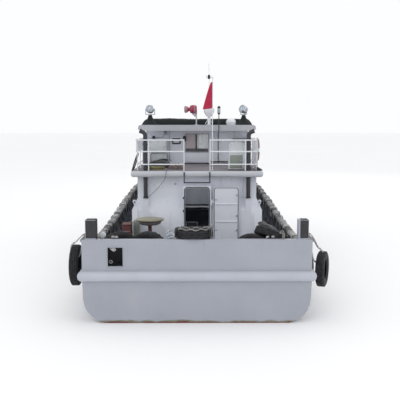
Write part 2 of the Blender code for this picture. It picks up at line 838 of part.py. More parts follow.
def cabin_benches(finish):
    """A seat along each side of the cabin, joined by one across its fore end."""
    inner = HOUSE_HALF - WALL - GAP
    floor = DECK_Z + GAP
    first = block("cabin_benches", (-inner, -inner + 0.45), (8.7, 11.3), (floor, 1.55), finish)
    second = block("bench_starboard", (inner - 0.45, inner), (8.7, 11.3), (floor, 1.55))
    across = block("bench_across", (-inner + 0.2, inner - 0.2), (8.75, 9.15), (floor, 1.54))
    return join(first, second, across)


def engines(finish):
    """Two engines as plain blocks on one bed, at the foot of the engine room."""
    floor = ENGINE_ROOM[3] + GAP
    bed = block("engines", (-1.2, 1.2), (5.6, 7.6), (floor, floor + 0.12), finish)
    blocks = []
    for side in (-1, 1):
        x_range = (side * 0.75 - 0.33, side * 0.75 + 0.33)
        blocks.append(block(f"engine_{side}", x_range, (5.75, 7.45), (floor + 0.05, 0.55), None, 0.05))
    return join(bed, *blocks)


def wheelhouse_levels():
    start, end = WHEELHOUSE
    half = WHEELHOUSE_HALF
    return [
        (UPPER_DECK_Z[1] + GAP, half, start, end),
        (ROOF_Z[0] - GAP, half, start, end),
    ]


def wheelhouse_walls(finish):
    levels = wheelhouse_levels()
    start, end = WHEELHOUSE
    aft = ring_wall("wheelhouse_aft_wall", levels, 0, WALL, finish)
    x0, x1, z0, z1 = AFT_WINDOW
    cut(aft, block("aft_window", (x0, x1), (start - 0.3, start + 0.3), (z0, z1)))
    starboard = ring_wall("wheelhouse_starboard_wall", levels, 1, WALL, finish)
    port = ring_wall("wheelhouse_port_wall", levels, 3, WALL, finish)
    for wall, side in ((starboard, 1), (port, -1)):
        windows = []
        for index in range(2):
            d0 = start + 0.35 + 1.35 * index
            x_range = sorted((side * 1.5, side * 1.9))
            windows.append(
                block(f"wheelhouse_window_{side}_{index}", x_range, (d0, d0 + 1.1), (3.72, 4.32))
            )
        cut(wall, *windows)
    front = ring_wall("wheelhouse_front_wall", levels, 2, WALL, finish)
    panes = []
    for index in range(3):
        x0 = -1.5 + 1.03 * index
        panes.append(
            block(f"front_pane_{index}", (x0, x0 + 0.94), (end - 0.3, end + 0.3), (3.70, 4.34))
        )
    cut(front, *panes)
    return aft, starboard, front, port


def wheelhouse_floor(finish):
    """The sunken floor, carried between the sloping shoulders of the deckhouse."""
    z_range = (WELL_FLOOR_Z - 0.05, WELL_FLOOR_Z)
    corner, upper = SHOULDER_Z
    slope = (HOUSE_HALF - HOUSE_UPPER_HALF) / (upper - corner)
    reach = HOUSE_HALF - WALL - slope * (WELL_FLOOR_Z - corner) - GAP
    return block("wheelhouse_floor", (-reach, reach), WHEELHOUSE, z_range, finish)


def wheelhouse_roof(finish):
    """A deep slab whose side edges taper to a point, as an eave."""
    low, high = ROOF_Z
    half = ROOF_HALF
    outline = [
        (-half + 0.10, low),
        (half - 0.10, low),
        (half, low + 0.045),
        (half - 0.02, high - 0.03),
        (half - 0.09, high),
        (-half + 0.09, high),
        (-half + 0.02, high - 0.03),
        (-half, low + 0.045),
    ]
    rings = [[(x, along(d), z) for x, z in outline] for d in ROOF_ENDS]
    return loft("wheelhouse_roof", rings, finish)


def roof_cover(finish):
    """The dark cover lashed over the roof, with a raised foot under each searchlight."""
    half = ROOF_HALF - 0.10
    start, end = ROOF_ENDS
    cover = block(
        "roof_cover",
        (-half, half),
        (start + 0.36, end - 0.12),
        (ROOF_Z[1] + GAP, COVER_TOP_Z),
        finish,
        0.17,
    )
    feet = []
    for side in (-1, 1):
        centre = (side * LAMP_X, along(LAMP_D), ROOF_Z[1] + GAP)
        profile = [(0.27, 0.0), (0.24, 0.07), (0.07, 0.24), (0.05, LAMP_BASE_Z - ROOF_Z[1] - GAP)]
        feet.append(turned(f"lamp_foot_{side}", profile, centre, (0, 0, 1), 8))
    return join(cover, *feet)


def searchlight(side, finish):
    """A drum-shaped lamp in a yoke that turns on its foot."""
    name = "searchlight_starboard" if side > 0 else "searchlight_port"
    x, y = side * LAMP_X, along(LAMP_D)
    base = turned(name, [(0.055, GAP), (0.055, 0.03)], (x, y, LAMP_BASE_Z), (0, 0, 1), 10, finish)
    facing = Vector((-0.75, -0.55, 0.35)) if side > 0 else Vector((-0.25, 0.9, 0.2))
    facing.normalize()
    centre = Vector((x, y, LAMP_BASE_Z + 0.175))
    profile = [(0.06, -0.12), (0.10, -0.09), (0.115, 0.0), (0.125, 0.09), (0.115, 0.105)]
    drum = turned(f"{name}_drum", profile, centre, facing, 14)
    across = Vector((facing.y, -facing.x, 0)).normalized()
    arm_ends = [centre + across * 0.15, centre - across * 0.15]
    foot_z = LAMP_BASE_Z + 0.02
    path = [
        arm_ends[0] + Vector((0, 0, 0.02)),
        Vector((arm_ends[0].x, arm_ends[0].y, foot_z)),
        Vector((arm_ends[1].x, arm_ends[1].y, foot_z)),
        arm_ends[1] + Vector((0, 0, 0.02)),
    ]
    yoke = tube(f"{name}_yoke", path, 0.013, 6)
    pivot = tube(f"{name}_pivot", arm_ends, 0.010, 6)
    return join(base, drum, yoke, pivot)


# Fittings


def rail_tube(name, path, finish=None):
    return tube(name, path, RAIL_RADIUS, 8, finish)


def railing(side, finish):
    """Three rails from the gate round the corner and forward to the wheelhouse."""
    name = "railing_starboard" if side > 0 else "railing_port"
    end_d = WHEELHOUSE[0] - 0.12
    rails = []
    for index, z in enumerate(RAIL_HEIGHTS):
        path = [
            (side * GATE_HALF, along(RAIL_D), z),
            (side * (RAIL_X - 0.12), along(RAIL_D), z),
            (side * (RAIL_X - 0.035), along(RAIL_D + 0.035), z),
            (side * RAIL_X, along(RAIL_D + 0.12), z),
            (side * RAIL_X, along(end_d), z),
        ]
        rail_name = name if index == 0 else f"{name}_rail_{index}"
        rails.append(rail_tube(rail_name, path, finish if index == 0 else None))
    places = [
        (GATE_HALF + 0.012, RAIL_D),
        (1.36, RAIL_D),
        (RAIL_X, 3.52),
        (RAIL_X, 4.55),
        (RAIL_X, 5.55),
        (RAIL_X, end_d - 0.012),
    ]
    posts = []
    foot = UPPER_DECK_Z[1] + GAP
    for index, (x, d) in enumerate(places):
        path = [(side * x, along(d), foot), (side * x, along(d), RAIL_HEIGHTS[-1] + 0.004)]
        posts.append(tube(f"{name}_post_{index}", path, 0.015, 8))
    return join(rails[0], *rails[1:], *posts)


def ladder_hanger(finish):
    """The dark U-shaped bar that hangs from the deck's edge under the gate."""
    radius, sides = 0.018, 8
    low, top = 3.04, UPPER_DECK_Z[1] - 0.03
    y = along(UPPER_DECK_ENDS[0]) - radius * math.cos(math.pi / sides) - GAP
    path = [(-0.36, y, top), (-0.36, y, low), (0.36, y, low), (0.36, y, top)]
    return tube("ladder_hanger", path, radius, sides, finish)


def exhaust(side, finish):
    """A pipe from the shoulder up through the deck, bent outboard at its top."""
    name = "exhaust_starboard" if side > 0 else "exhaust_port"
    x, y = side * PIPE_X, along(PIPE_D)
    path = [(x, y, PIPE_FOOT_Z + GAP), (x, y, PIPE_BEND_Z)]
    reach, rise = 0.15, PIPE_TIP_Z - PIPE_BEND_Z
    for angle in (30, 60):
        turn = math.radians(angle)
        path.append((x + side * 0.10 * (1 - math.cos(turn)), y, PIPE_BEND_Z + 0.10 * math.sin(turn)))
    path.append((x + side * reach, y, PIPE_BEND_Z + rise * 0.72))
    pipe = tube(name, path, PIPE_RADIUS, 10, finish)
    profile = [(0.08, GAP), (0.08, 0.03)]
    flange = turned(f"{name}_flange", profile, (x, y, PIPE_FOOT_Z), (0, 0, 1), 12)
    return join(pipe, flange)


def mast(finish):
    """The short white column on the roof's after edge, its bracket and the whip aerial."""
    x, y, foot = 0.39, along(6.28), ROOF_Z[1] + GAP
    column = turned("mast", [(0.048, 0), (0.048, 0.46)], (x, y, foot), (0, 0, 1), 10, finish)
    profile = [(0.09, 0), (0.17, 0.15), (0.17, 0.25)]
    bracket = turned("mast_bracket", profile, (x, y, foot + 0.27), (0, 0, 1), 8)
    aerial_path = [(x, y, foot + 0.45), (x, y, 6.28), (x - 0.01, y, 6.60)]
    aerial = tube("mast_aerial", aerial_path, 0.012, 6)
    return join(column, bracket, aerial)


def loudhailer(finish):
    """A horn on a thin post at the roof's after edge, its bell to port."""
    x, y, foot = -0.02, along(6.28), ROOF_Z[1] + GAP
    post = turned("loudhailer", [(0.02, 0), (0.02, 0.45)], (x, y, foot), (0, 0, 1), 8, finish)
    bell = [(0.07, -0.205), (0.108, -0.19), (0.10, -0.12), (0.055, -0.055), (0.06, -0.035)]
    drum = [(0.115, -0.02), (0.131, 0.03), (0.131, 0.15), (0.10, 0.195)]
    horn = turned("horn", bell + drum, (x - 0.18, y, foot + 0.50), (1, -0.05, 0.03), 14)
    return join(post, horn)


def flagstaff(finish):
    x, y, foot_z = FLAGSTAFF_X, along(FLAGSTAFF_D), UPPER_DECK_Z[1] + GAP
    staff = tube("flagstaff", [(x, y, foot_z), (x, y, 5.96)], FLAGSTAFF_RADIUS, 8, finish)
    truck = turned("truck", [(0.02, 0), (0.028, 0.02), (0.012, 0.05)], (x, y, 5.95), (0, 0, 1), 8)
    foot = turned("staff_foot", [(0.035, 0), (0.035, 0.02)], (x, y, foot_z), (0, 0, 1), 8)
    return join(staff, truck, foot)


def flag(finish):
    """The flag hanging limp beside its staff, as one soft folded shape."""
    x1 = FLAGSTAFF_X - FLAGSTAFF_RADIUS * math.cos(math.pi / 8) - GAP
    y = along(FLAGSTAFF_D)
    rings = []
    for z, width, thick in FLAG_LEVELS:
        rings.append(
            [
                (x1, y - thick / 2, z),
                (x1 - width, y - thick / 4, z),
                (x1 - width, y + thick / 4, z),
                (x1, y + thick / 2, z),
            ]
        )
    return loft("flag", rings, finish)


def lamp_pole(finish):
    """A thin pole on the upper deck with an all-round lamp at its head."""
    x, y = 0.70, along(6.58)
    foot = UPPER_DECK_Z[1] + GAP
    path = [(x, y, foot), (x, y, 4.30), (x, along(6.02), 4.46), (x, along(6.02), 5.0)]
    pole = tube("lamp_pole", path, 0.015, 8, finish)
    profile = [(0.03, 0), (0.045, 0.03), (0.045, 0.20), (0.03, 0.25)]
    lamp = turned("lamp_head", profile, (x, along(6.02), 4.98), (0, 0, 1), 10)
    return join(pole, lamp)


def dome(finish):
    """The white dome of a satellite aerial on the roof's after edge."""
    profile = [(0.14, GAP), (0.165, 0.06), (0.15, 0.14), (0.10, 0.195), (0.04, 0.215)]
    return turned("aerial_dome", profile, (1.10, along(6.275), ROOF_Z[1]), (0, 0, 1), 14, finish)


def wall_box(name, x_range, depth, z_range, finish, gap=GAP):
    """A box fixed to the wheelhouse's after wall."""
    wall = WHEELHOUSE[0] - gap
    made = block(name, x_range, (wall - depth, wall), z_range, finish)
    return rounded(made, 0.012, 1)


def deck_locker(finish):
    """A small locker by the rail with an arched grab bar over it."""
    base = UPPER_DECK_Z[1] + GAP
    made = block("deck_locker", (0.91, 1.33), (3.66, 4.10), (base, 3.86), finish)
    path = [(0.93, along(3.72), 3.8), (0.93, along(3.72), 4.08), (1.00, along(3.72), 4.16)]
    path += [(1.24, along(3.72), 4.16), (1.31, along(3.72), 4.08), (1.31, along(3.72), 3.8)]
    return join(made, tube("locker_bar", path, 0.013, 6))


def pedestal_basin(finish):
    """A shallow basin on one leg, on the after deck."""
    x, y = -1.285, along(2.62)
    profile = [
        (0.16, GAP), (0.16, 0.03), (0.045, 0.06), (0.045, 0.80), (0.10, 0.86),
        (0.28, 0.93), (0.30, 0.97), (0.37, 0.975), (0.37, 1.01),
        (0.29, 1.01), (0.26, 0.95), (0.06, 0.90),
    ]
    return turned("pedestal_basin", profile, (x, y, DECK_Z), (0, 0, 1), 16, finish)


def hatch_lid(finish):
    """The lid of the forepeak hatch, hinged on its forward edge."""
    z = 1.42 + GAP
    lid = block("forepeak_lid", (-0.38, 0.38), (14.17, 14.885), (z, z + 0.05), finish)
    rounded(lid, 0.012, 1)
    barrels = []
    for x in LID_BARRELS:
        centre = (x - LID_BARREL_HALF, along(LID_HINGE_D), LID_HINGE_Z)
        profile = [(0.018, 0), (0.018, 2 * LID_BARREL_HALF)]
        barrels.append(turned(f"lid_barrel_{x}", profile, centre, (1, 0, 0), 8))
        x_range = (x - 0.04, x + 0.04)
        strap_z = (z + 0.015, z + 0.042)
        barrels.append(block(f"lid_strap_{x}", x_range, (14.85, LID_HINGE_D), strap_z))
    return join(lid, *barrels)


def capstan(finish):
    """A waisted drum that turns on the foredeck."""
    profile = [(0.20, GAP), (0.20, 0.05), (0.13, 0.10), (0.11, 0.24), (0.17, 0.36), (0.17, 0.42)]
    return turned("capstan", profile, (0, along(16.2), 1.32), (0, 0, 1), 14, finish)


def bow_bitts(finish):
    """Two short posts with a bar across them."""
    z = 1.42 + GAP
    y = along(17.15)
    plate = block("bow_bitts", (-0.36, 0.36), (17.00, 17.30), (z, z + 0.02), finish)
    posts = []
    for side in (-1, 1):
        centre = (side * 0.2, y, z + 0.01)
        profile = [(0.07, 0), (0.07, 0.36), (0.085, 0.37), (0.085, 0.40)]
        posts.append(turned(f"bitt_{side}", profile, centre, (0, 0, 1), 12))
    bar = turned("bitt_bar", [(0.028, -0.33), (0.028, 0.33)], (0, y, z + 0.24), (1, 0, 0), 8)
    return join(plate, *posts, bar)


# Stern gear that moves


def propeller(side, finish):
    """Four raked blades on a hub, running clear of the boss's after face."""
    name = "propeller_starboard" if side > 0 else "propeller_port"
    centre = (side * SHAFT_X, along(BOSS_AFT) - GAP, SHAFT_Z)
    profile = [(0.085, 0.0), (0.085, 0.17), (0.06, 0.24), (0.02, 0.28)]
    hub = turned(name, profile, centre, (0, -1, 0), 12, finish)
    blades = []
    for index in range(4):
        turn = math.radians(90 * index + 20)
        rings = []
        for radius, chord, pitch in BLADE_STATIONS:
            angle = -math.radians(pitch)
            ring = []
            for along_chord, thick in BLADE_SECTION:
                u = along_chord * chord
                v = thick * BLADE_THICKNESS
                tangent = u * math.cos(angle) - v * math.sin(angle)
                axial = u * math.sin(angle) + v * math.cos(angle)
                x = radius * math.cos(turn) - tangent * math.sin(turn)
                z = radius * math.sin(turn) + tangent * math.cos(turn)
                ring.append((centre[0] + side * x, centre[1] - 0.10 + axial, centre[2] + z))
            rings.append(ring)
        blades.append(loft(f"{name}_blade_{index}", rings))
    return join(hub, *blades)


def rudder(side, finish):
    """A balanced blade with its stock, turning under the trunk."""
    name = "rudder_starboard" if side > 0 else "rudder_port"
    x = side * SHAFT_X
    outline = [(1.21, 0.0), (1.13, 0.045), (0.95, 0.045), (0.58, 0.008)]
    half = [(x + t, d) for d, t in outline] + [(x - t, d) for d, t in reversed(outline[1:])]
    rings = [[(px, along(d), z) for px, d in half] for z in (-0.99, -0.33)]
    blade = loft(name, rings, finish)
    radius, length = RUDDER_STOCK
    foot = (x, along(RUDDER_D), TRUNK_Z - GAP - length)
    stock = turned(f"{name}_stock", [(radius, 0), (radius, length)], foot, (0, 0, 1), 12)
    return join(blade, stock)


# Wheelhouse interior


def console(finish):
    """The helm's desk under the front windows, with a boss for the wheel."""
    floor = WELL_FLOOR_Z + GAP
    outline = [(9.05, floor), (9.78, floor), (9.78, 3.55), (9.30, 3.52), (9.05, 3.30)]
    desk = side_prism("console", (-0.85, 0.85), outline, finish)
    boss = turned("helm_boss", [(0.04, 0), (0.04, 0.12)], (0, along(9.10), HELM_Z), (0, -1, 0), 10)
    return join(desk, boss)


def helm_wheel(finish):
    """A four-spoked wheel facing aft."""
    centre = Vector((0, along(HELM_D) - GAP, HELM_Z))
    hub = turned("helm_wheel", [(0.045, 0), (0.045, 0.05)], centre, (0, -1, 0), 10, finish)
    middle = centre + Vector((0, -0.03, 0))
    rim = wheel_rim("helm_rim", middle, 0.24, 0.016)
    spokes = []
    for index in range(2):
        turn = math.pi / 2 * index
        reach = Vector((math.cos(turn), 0, math.sin(turn))) * 0.24
        spokes.append(tube(f"spoke_{index}", [middle - reach, middle + reach], 0.010, 6))
    return join(hub, rim, *spokes)


def wheel_rim(name, centre, radius, thickness):
    """A ring of round section that faces along Y."""
    rings = []
    for x, z in circle(1.0, 16):
        section = circle(thickness, 6)
        rings.append([centre + Vector((x * (radius + a), b, z * (radius + a))) for a, b in section])
    points = [point for ring in rings for point in ring]
    faces = grid_faces(16, 6)
    last = 15 * 6
    for column in range(6):
        faces.append((last + column, last + (column + 1) % 6, (column + 1) % 6, column))
    return object_from(name, points, faces)


def helm_seat(finish):
    """A seat on one leg, with a low back."""
    floor, d = WELL_FLOOR_Z + GAP, SEAT_D
    profile = [(0.20, 0), (0.20, 0.03), (0.05, 0.05), (0.05, 0.66)]
    foot = turned("helm_seat", profile, (0, along(d), floor), (0, 0, 1), 12, finish)
    cushion = block("seat_cushion", (-0.24, 0.24), (d - 0.22, d + 0.24), (floor + 0.62, floor + 0.74))
    back = block("seat_back", (-0.23, 0.23), (d - 0.25, d - 0.16), (floor + 0.66, floor + 1.18))
    return join(foot, cushion, back)


def build():
    clear_scene()
    paint = material("white_paint", WHITE, 0.45)
    hull_paint = material("hull_paint", (0.70, 0.71, 0.76), 0.5)
    deck_paint = material("deck_paint", (0.42, 0.38, 0.38), 0.8)
    dark = material("charcoal", CHARCOAL, 0.6, 0.3)
    rubber = material("tyre", RUBBER, 0.85)
    cover = material("cover_cloth", (0.02, 0.035, 0.03), 0.9)
    steel = material("steel", (0.55, 0.58, 0.62), 0.35, 0.8)
    bronze = material("bronze", (0.55, 0.38, 0.18), 0.35, 0.9)
    red = material("flag_cloth", (0.62, 0.02, 0.05), 0.8)
    horn_paint = material("horn_paint", (0.55, 0.12, 0.14), 0.5)
    lining = material("lining", (0.50, 0.51, 0.54), 0.6)
    engine_paint = material("engine_paint", (0.10, 0.17, 0.22), 0.5, 0.2)
    seat_cloth = material("seat_cloth", (0.10, 0.11, 0.14), 0.8)
    bottom = material("bottom_paint", (0.25, 0.06, 0.05), 0.6)

    hull(hull_paint)
    transom_bulwark(hull_paint)
    rubbing_strake(hull_paint)
    deck_tyres(rubber)
    for side in (-1, 1):
        bulwark_side(side, hull_paint)
        tyre_row(side, rubber)
        quarter_tyre(side, rubber)
        railing(side, paint)
        exhaust(side, dark)
        searchlight(side, steel)
        propeller(side, bronze)
        rudder(side, bottom)
    house_walls(paint)
    aft_door(paint)
    front_door(paint)
    upper_deck(deck_paint)
    cabin_bulkhead(lining)
    cabin_floor(deck_paint)
    cabin_benches(seat_cloth)
    engines(engine_paint)
    wheelhouse_walls(paint)
    wheelhouse_floor(deck_paint)
    wheelhouse_roof(paint)
    roof_cover(cover)
    ladder_hanger(dark)
    mast(paint)
    loudhailer(horn_paint)
    flagstaff(paint)
    flag(red)
    lamp_pole(dark)
    dome(paint)
    wall_box("wall_cabinet", (-1.56, -0.99), 0.30, (3.78, 4.16), paint)
    wall_box("aircon_unit", (-1.53, -0.95), 0.34, (3.372, 3.74), lining)
    deck_locker(lining)
    pedestal_basin(steel)
    hatch_lid(deck_paint)
    capstan(steel)
    bow_bitts(dark)
    console(lining)
    helm_wheel(dark)
    helm_seat(seat_cloth)


build()
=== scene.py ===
import math

import bmesh
import bpy
import numpy as np
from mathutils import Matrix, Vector


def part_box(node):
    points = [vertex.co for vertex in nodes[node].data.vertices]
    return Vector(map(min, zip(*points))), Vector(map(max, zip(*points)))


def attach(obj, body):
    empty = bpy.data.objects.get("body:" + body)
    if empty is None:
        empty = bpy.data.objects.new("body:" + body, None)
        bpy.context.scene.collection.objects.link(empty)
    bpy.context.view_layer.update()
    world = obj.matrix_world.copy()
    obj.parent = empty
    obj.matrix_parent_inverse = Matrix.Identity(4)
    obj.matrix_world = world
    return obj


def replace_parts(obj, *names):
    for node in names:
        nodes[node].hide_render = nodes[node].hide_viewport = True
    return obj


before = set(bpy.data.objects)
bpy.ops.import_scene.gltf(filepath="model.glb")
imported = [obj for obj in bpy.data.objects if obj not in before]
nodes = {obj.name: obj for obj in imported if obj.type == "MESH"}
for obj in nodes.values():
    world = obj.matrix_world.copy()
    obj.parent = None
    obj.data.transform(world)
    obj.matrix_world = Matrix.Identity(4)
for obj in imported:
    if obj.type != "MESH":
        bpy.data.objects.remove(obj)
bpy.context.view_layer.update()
sternY = -10.0  # the stern plate; distances d are measured forward from it
seed = np.random.default_rng(7)


# Node trees

def newFinish(name, roughness, metallic=0.0):
    # an unpainted finish with its roughness and its share of metal
    made = bpy.data.materials.new(name)
    made.use_nodes = True
    shader = made.node_tree.nodes["Principled BSDF"]
    shader.inputs["Roughness"].default_value = roughness
    shader.inputs["Metallic"].default_value = metallic
    return made


def addNode(tree, kind, settings=None, inputs=None):
    # a node with its settings; an input is linked when it is given a socket, else set
    made = tree.nodes.new(kind)
    for key, value in (settings or {}).items():
        setattr(made, key, value)
    for key, value in (inputs or {}).items():
        if isinstance(value, bpy.types.NodeSocket):
            tree.links.new(value, made.inputs[key])
        else:
            made.inputs[key].default_value = value
    return made


def mapped(tree, scale=(1, 1, 1), source="Object", location=(0, 0, 0)):
    # coordinates of the piece, stretched by the scale
    coords = addNode(tree, "ShaderNodeTexCoord")
    step = addNode(tree, "ShaderNodeMapping", None, {"Vector": coords.outputs[source]})
    step.inputs["Scale"].default_value = scale
    step.inputs["Location"].default_value = location
    return step.outputs["Vector"]


def noise(tree, vector, scale, detail=4.0, rough=0.55):
    # soft noise at a scale, with finer detail laid over it
    made = addNode(
        tree, "ShaderNodeTexNoise", None,
        {"Vector": vector, "Scale": scale, "Detail": detail, "Roughness": rough},
    )
    return made.outputs["Fac"]


def ramp(tree, value, stops):
    # each stop is (place, value from 0 to 1)
    made = addNode(tree, "ShaderNodeValToRGB", None, {"Fac": value})
    points = made.color_ramp.elements
    while len(points) < len(stops):
        points.new(0.5)
    for point, (place, shade) in zip(points, stops):
        point.position = place
        point.color = (shade, shade, shade, 1)
    return made.outputs["Color"]


def blotches(tree, form, low, high):
    # noise of the form (scale, detail, roughness), stretched between two stops
    return ramp(tree, noise(tree, mapped(tree), *form), [low, high])


def blendColour(tree, share, first, second, mode="MIX"):
    # the first colour where the share is 0, the second where it is 1
    made = addNode(tree, "ShaderNodeMix", {"data_type": "RGBA", "blend_type": mode})
    for index, value in ((0, share), (6, first), (7, second)):
        if isinstance(value, bpy.types.NodeSocket):
            tree.links.new(value, made.inputs[index])
        elif index == 0:
            made.inputs[0].default_value = value
        else:
            made.inputs[index].default_value = (*value, 1)
    return made.outputs[2]


def sums(tree, operation, first, second):
    # one step of arithmetic on two values
    made = addNode(tree, "ShaderNodeMath", {"operation": operation})
    for index, value in enumerate((first, second)):
        if isinstance(value, bpy.types.NodeSocket):
            tree.links.new(value, made.inputs[index])
        else:
            made.inputs[index].default_value = value
    return made.outputs[0]


def times(tree, first, second):
    # the product of two values
    return sums(tree, "MULTIPLY", first, second)


def plus(tree, first, second):
    # the sum of two values
    return sums(tree, "ADD", first, second)


def band(tree, value, low, high, soft):
    # 1 between low and high, falling to 0 over the soft distance on both sides
    up = addNode(
        tree, "ShaderNodeMapRange", {"clamp": True},
        {"Value": value, "From Min": low - soft, "From Max": low},
    )
    down = addNode(
        tree, "ShaderNodeMapRange", {"clamp": True},
        {"Value": value, "From Min": high, "From Max": high + soft, "To Min": 1.0, "To Max": 0.0},
    )
    return times(tree, up.outputs["Result"], down.outputs["Result"])


def parts3(tree):
    # the X, Y and Z of the piece's own coordinates
    coords = addNode(tree, "ShaderNodeTexCoord")
    split = addNode(tree, "ShaderNodeSeparateXYZ", None, {"Vector": coords.outputs["Object"]})
    return split.outputs


def facing(tree):
    # how far the surface faces up, from -1 to 1
    geometry = addNode(tree, "ShaderNodeNewGeometry")
    split = addNode(tree, "ShaderNodeSeparateXYZ", None, {"Vector": geometry.outputs["Normal"]})
    return split.outputs["Z"]


def relief(tree, height, strength, distance):
    # bumps whose height follows the value
    made = addNode(
        tree, "ShaderNodeBump", None,
        {"Height": height, "Strength": strength, "Distance": distance},
    )
    shader = tree.nodes["Principled BSDF"]
    tree.links.new(made.outputs["Normal"], shader.inputs["Normal"])


def shade(tree, colour, roughness=None):
    # gives the finish its colour and, where one is named, its roughness
    shader = tree.nodes["Principled BSDF"]
    if isinstance(colour, bpy.types.NodeSocket):
        tree.links.new(colour, shader.inputs["Base Color"])
    else:
        shader.inputs["Base Color"].default_value = (*colour, 1)
    if roughness is not None:
        tree.links.new(roughness, shader.inputs["Roughness"])


def mottled(tree, colour, vector, scale, depth):
    # the colour, a little darker and lighter in soft patches
    patches = ramp(tree, noise(tree, vector, scale, 5), [(0.3, 0.0), (0.7, 1.0)])
    dark = tuple(c * (1 - depth) for c in colour)
    light = tuple(min(1.0, c * (1 + depth * 0.5)) for c in colour)
    return blendColour(tree, patches, dark, light)


def streaks(tree, across, down, low, high):
    # thin stains that run down a wall
    runs = noise(tree, mapped(tree, (across, across, down)), 1.0, 5, 0.6)
    return ramp(tree, runs, [(low, 0.0), (high, 1.0)])


# Finishes

paintTones = {
    "hull": (0.35, 0.37, 0.42),
    "house": (0.68, 0.71, 0.78),
    "edge": (0.52, 0.54, 0.58),
    "deck": (0.19, 0.175, 0.19),
    "rust": (0.25, 0.105, 0.045),
    "grime": (0.22, 0.215, 0.20),
    "bootTop": (0.13, 0.022, 0.028),
    "weed": (0.17, 0.165, 0.105),
}


def hullFinish():
    # pale sides with streaks and scuffs, weed and red below, worn deck paint on top faces, painted shade
    # near black on the side decks
    made = newFinish("hullPaint", 0.42)
    tree = made.node_tree
    x, y, z = parts3(tree)
    base = mottled(tree, paintTones["hull"], mapped(tree), 0.9, 0.09)
    base = blendColour(tree, streaks(tree, 7, 0.5, 0.60, 0.80), base, (0.40, 0.39, 0.38))
    scuffs = ramp(tree, noise(tree, mapped(tree, (1.5, 1.5, 9)), 3, 6, 0.7), [(0.66, 0.0), (0.74, 0.6)])
    base = blendColour(tree, scuffs, base, (0.36, 0.37, 0.40))
    rustRuns = streaks(tree, 14, 0.9, 0.66, 0.78)
    under = band(tree, z, 0.55, 0.98, 0.25)
    rusty = times(tree, rustRuns, under)
    base = blendColour(tree, times(tree, rusty, 0.5), base, paintTones["rust"])
    wander = times(tree, noise(tree, mapped(tree, (2, 2, 5)), 1.2, 6), -0.16)
    ragged = plus(tree, z, wander)
    weedy = band(tree, ragged, -9.0, -0.035, 0.03)
    base = blendColour(tree, weedy, base, paintTones["weed"])
    red = band(tree, ragged, -9.0, -0.06, 0.015)
    base = blendColour(tree, red, base, paintTones["bootTop"])
    top = band(tree, facing(tree), 0.75, 2.0, 0.05)
    onDeck = times(tree, top, band(tree, z, 1.02, 2.0, 0.02))
    worn = mottled(tree, paintTones["deck"], mapped(tree), 2.2, 0.3)
    # painted shade: the side decks along the deckhouse take a near-black colour where shade falls
    beside = band(tree, sums(tree, "ABSOLUTE", x, 0.0), 1.86, 3.0, 0.05)
    shadedWalkway = times(tree, band(tree, y, -5.6, 2.4, 0.3), beside)
    worn = blendColour(tree, shadedWalkway, worn, (0.022, 0.022, 0.028))
    base = blendColour(tree, onDeck, base, worn)
    inside = times(tree, band(tree, z, -0.6, 1.05, 0.01), band(tree, x, -1.46, 1.46, 0.002))
    inside = times(tree, inside, band(tree, y, -5.72, -1.58, 0.002))
    base = blendColour(tree, inside, base, (0.16, 0.17, 0.19))
    rough = blotches(tree, (3.0, 5), (0.3, 0.32), (0.7, 0.55))
    shade(tree, base, rough)
    seams = seamLines(tree, x, 1.35, 0.012)
    seams = plus(tree, seams, seamLines(tree, y, 1.6, 0.012))
    dents = noise(tree, mapped(tree), 1.3, 3)
    relief(tree, plus(tree, times(tree, seams, 0.25), dents), 0.35, 0.02)
    return made


def bulwarkFinish():
    # white paint outboard and on the cap, worn black paint on the face towards the deck
    made = newFinish("bulwarkPaint", 0.5)
    tree = made.node_tree
    x = parts3(tree)[0]
    geometry = addNode(tree, "ShaderNodeNewGeometry")
    split = addNode(tree, "ShaderNodeSeparateXYZ", None, {"Vector": geometry.outputs["Normal"]})
    outward = times(tree, split.outputs["X"], x)
    inner = addNode(
        tree, "ShaderNodeMapRange", {"clamp": True},
        {"Value": outward, "From Min": 0.05, "From Max": -0.1},
    ).outputs["Result"]
    white = mottled(tree, paintTones["hull"], mapped(tree), 0.9, 0.09)
    white = blendColour(tree, streaks(tree, 7, 0.5, 0.60, 0.80), white, (0.22, 0.21, 0.20))
    black = mottled(tree, (0.020, 0.019, 0.024), mapped(tree), 3.0, 0.3)
    black = blendColour(tree, streaks(tree, 12, 0.6, 0.58, 0.72), black, (0.12, 0.11, 0.11))
    top = band(tree, split.outputs["Z"], 0.75, 2.0, 0.05)
    base = blendColour(tree, inner, white, black)
    base = blendColour(tree, top, base, (0.07, 0.07, 0.075))
    shade(tree, base, blotches(tree, (3.0, 5), (0.3, 0.35), (0.7, 0.6)))
    relief(tree, noise(tree, mapped(tree), 2.0, 4), 0.3, 0.02)
    return made


def seamLines(tree, coordinate, spacing, width):
    # a raised bead at every multiple of the spacing
    phase = sums(tree, "PINGPONG", coordinate, spacing / 2)
    return band(tree, phase, -1.0, width / 2, width / 2)


def housePaint(name, tone, dirt=1.0):
    # pale paint with running stains, rust chips and splashes low down
    made = newFinish(name, 0.4)
    tree = made.node_tree
    z = parts3(tree)[2]
    base = mottled(tree, tone, mapped(tree), 1.1, 0.07)
    stains = streaks(tree, 9, 0.7, 0.60, 0.78)
    base = blendColour(tree, times(tree, stains, 0.5 * dirt), base, paintTones["grime"])
    spots = blotches(tree, (26, 3), (0.70, 0.0), (0.74, 1.0))
    chips = times(tree, spots, blotches(tree, (1.7, 2), (0.52, 0.0), (0.62, 1.0)))
    base = blendColour(tree, times(tree, chips, 0.7 * dirt), base, paintTones["rust"])
    low = band(tree, z, 0.0, 1.14, 0.22)
    splash = times(tree, times(tree, low, dirt), noise(tree, mapped(tree), 6, 5))
    base = blendColour(tree, splash, base, paintTones["grime"])
    rough = blotches(tree, (4.0, 5), (0.3, 0.30), (0.7, 0.52))
    shade(tree, base, rough)
    relief(tree, noise(tree, mapped(tree), 5.0, 4), 0.12, 0.01)
    return made


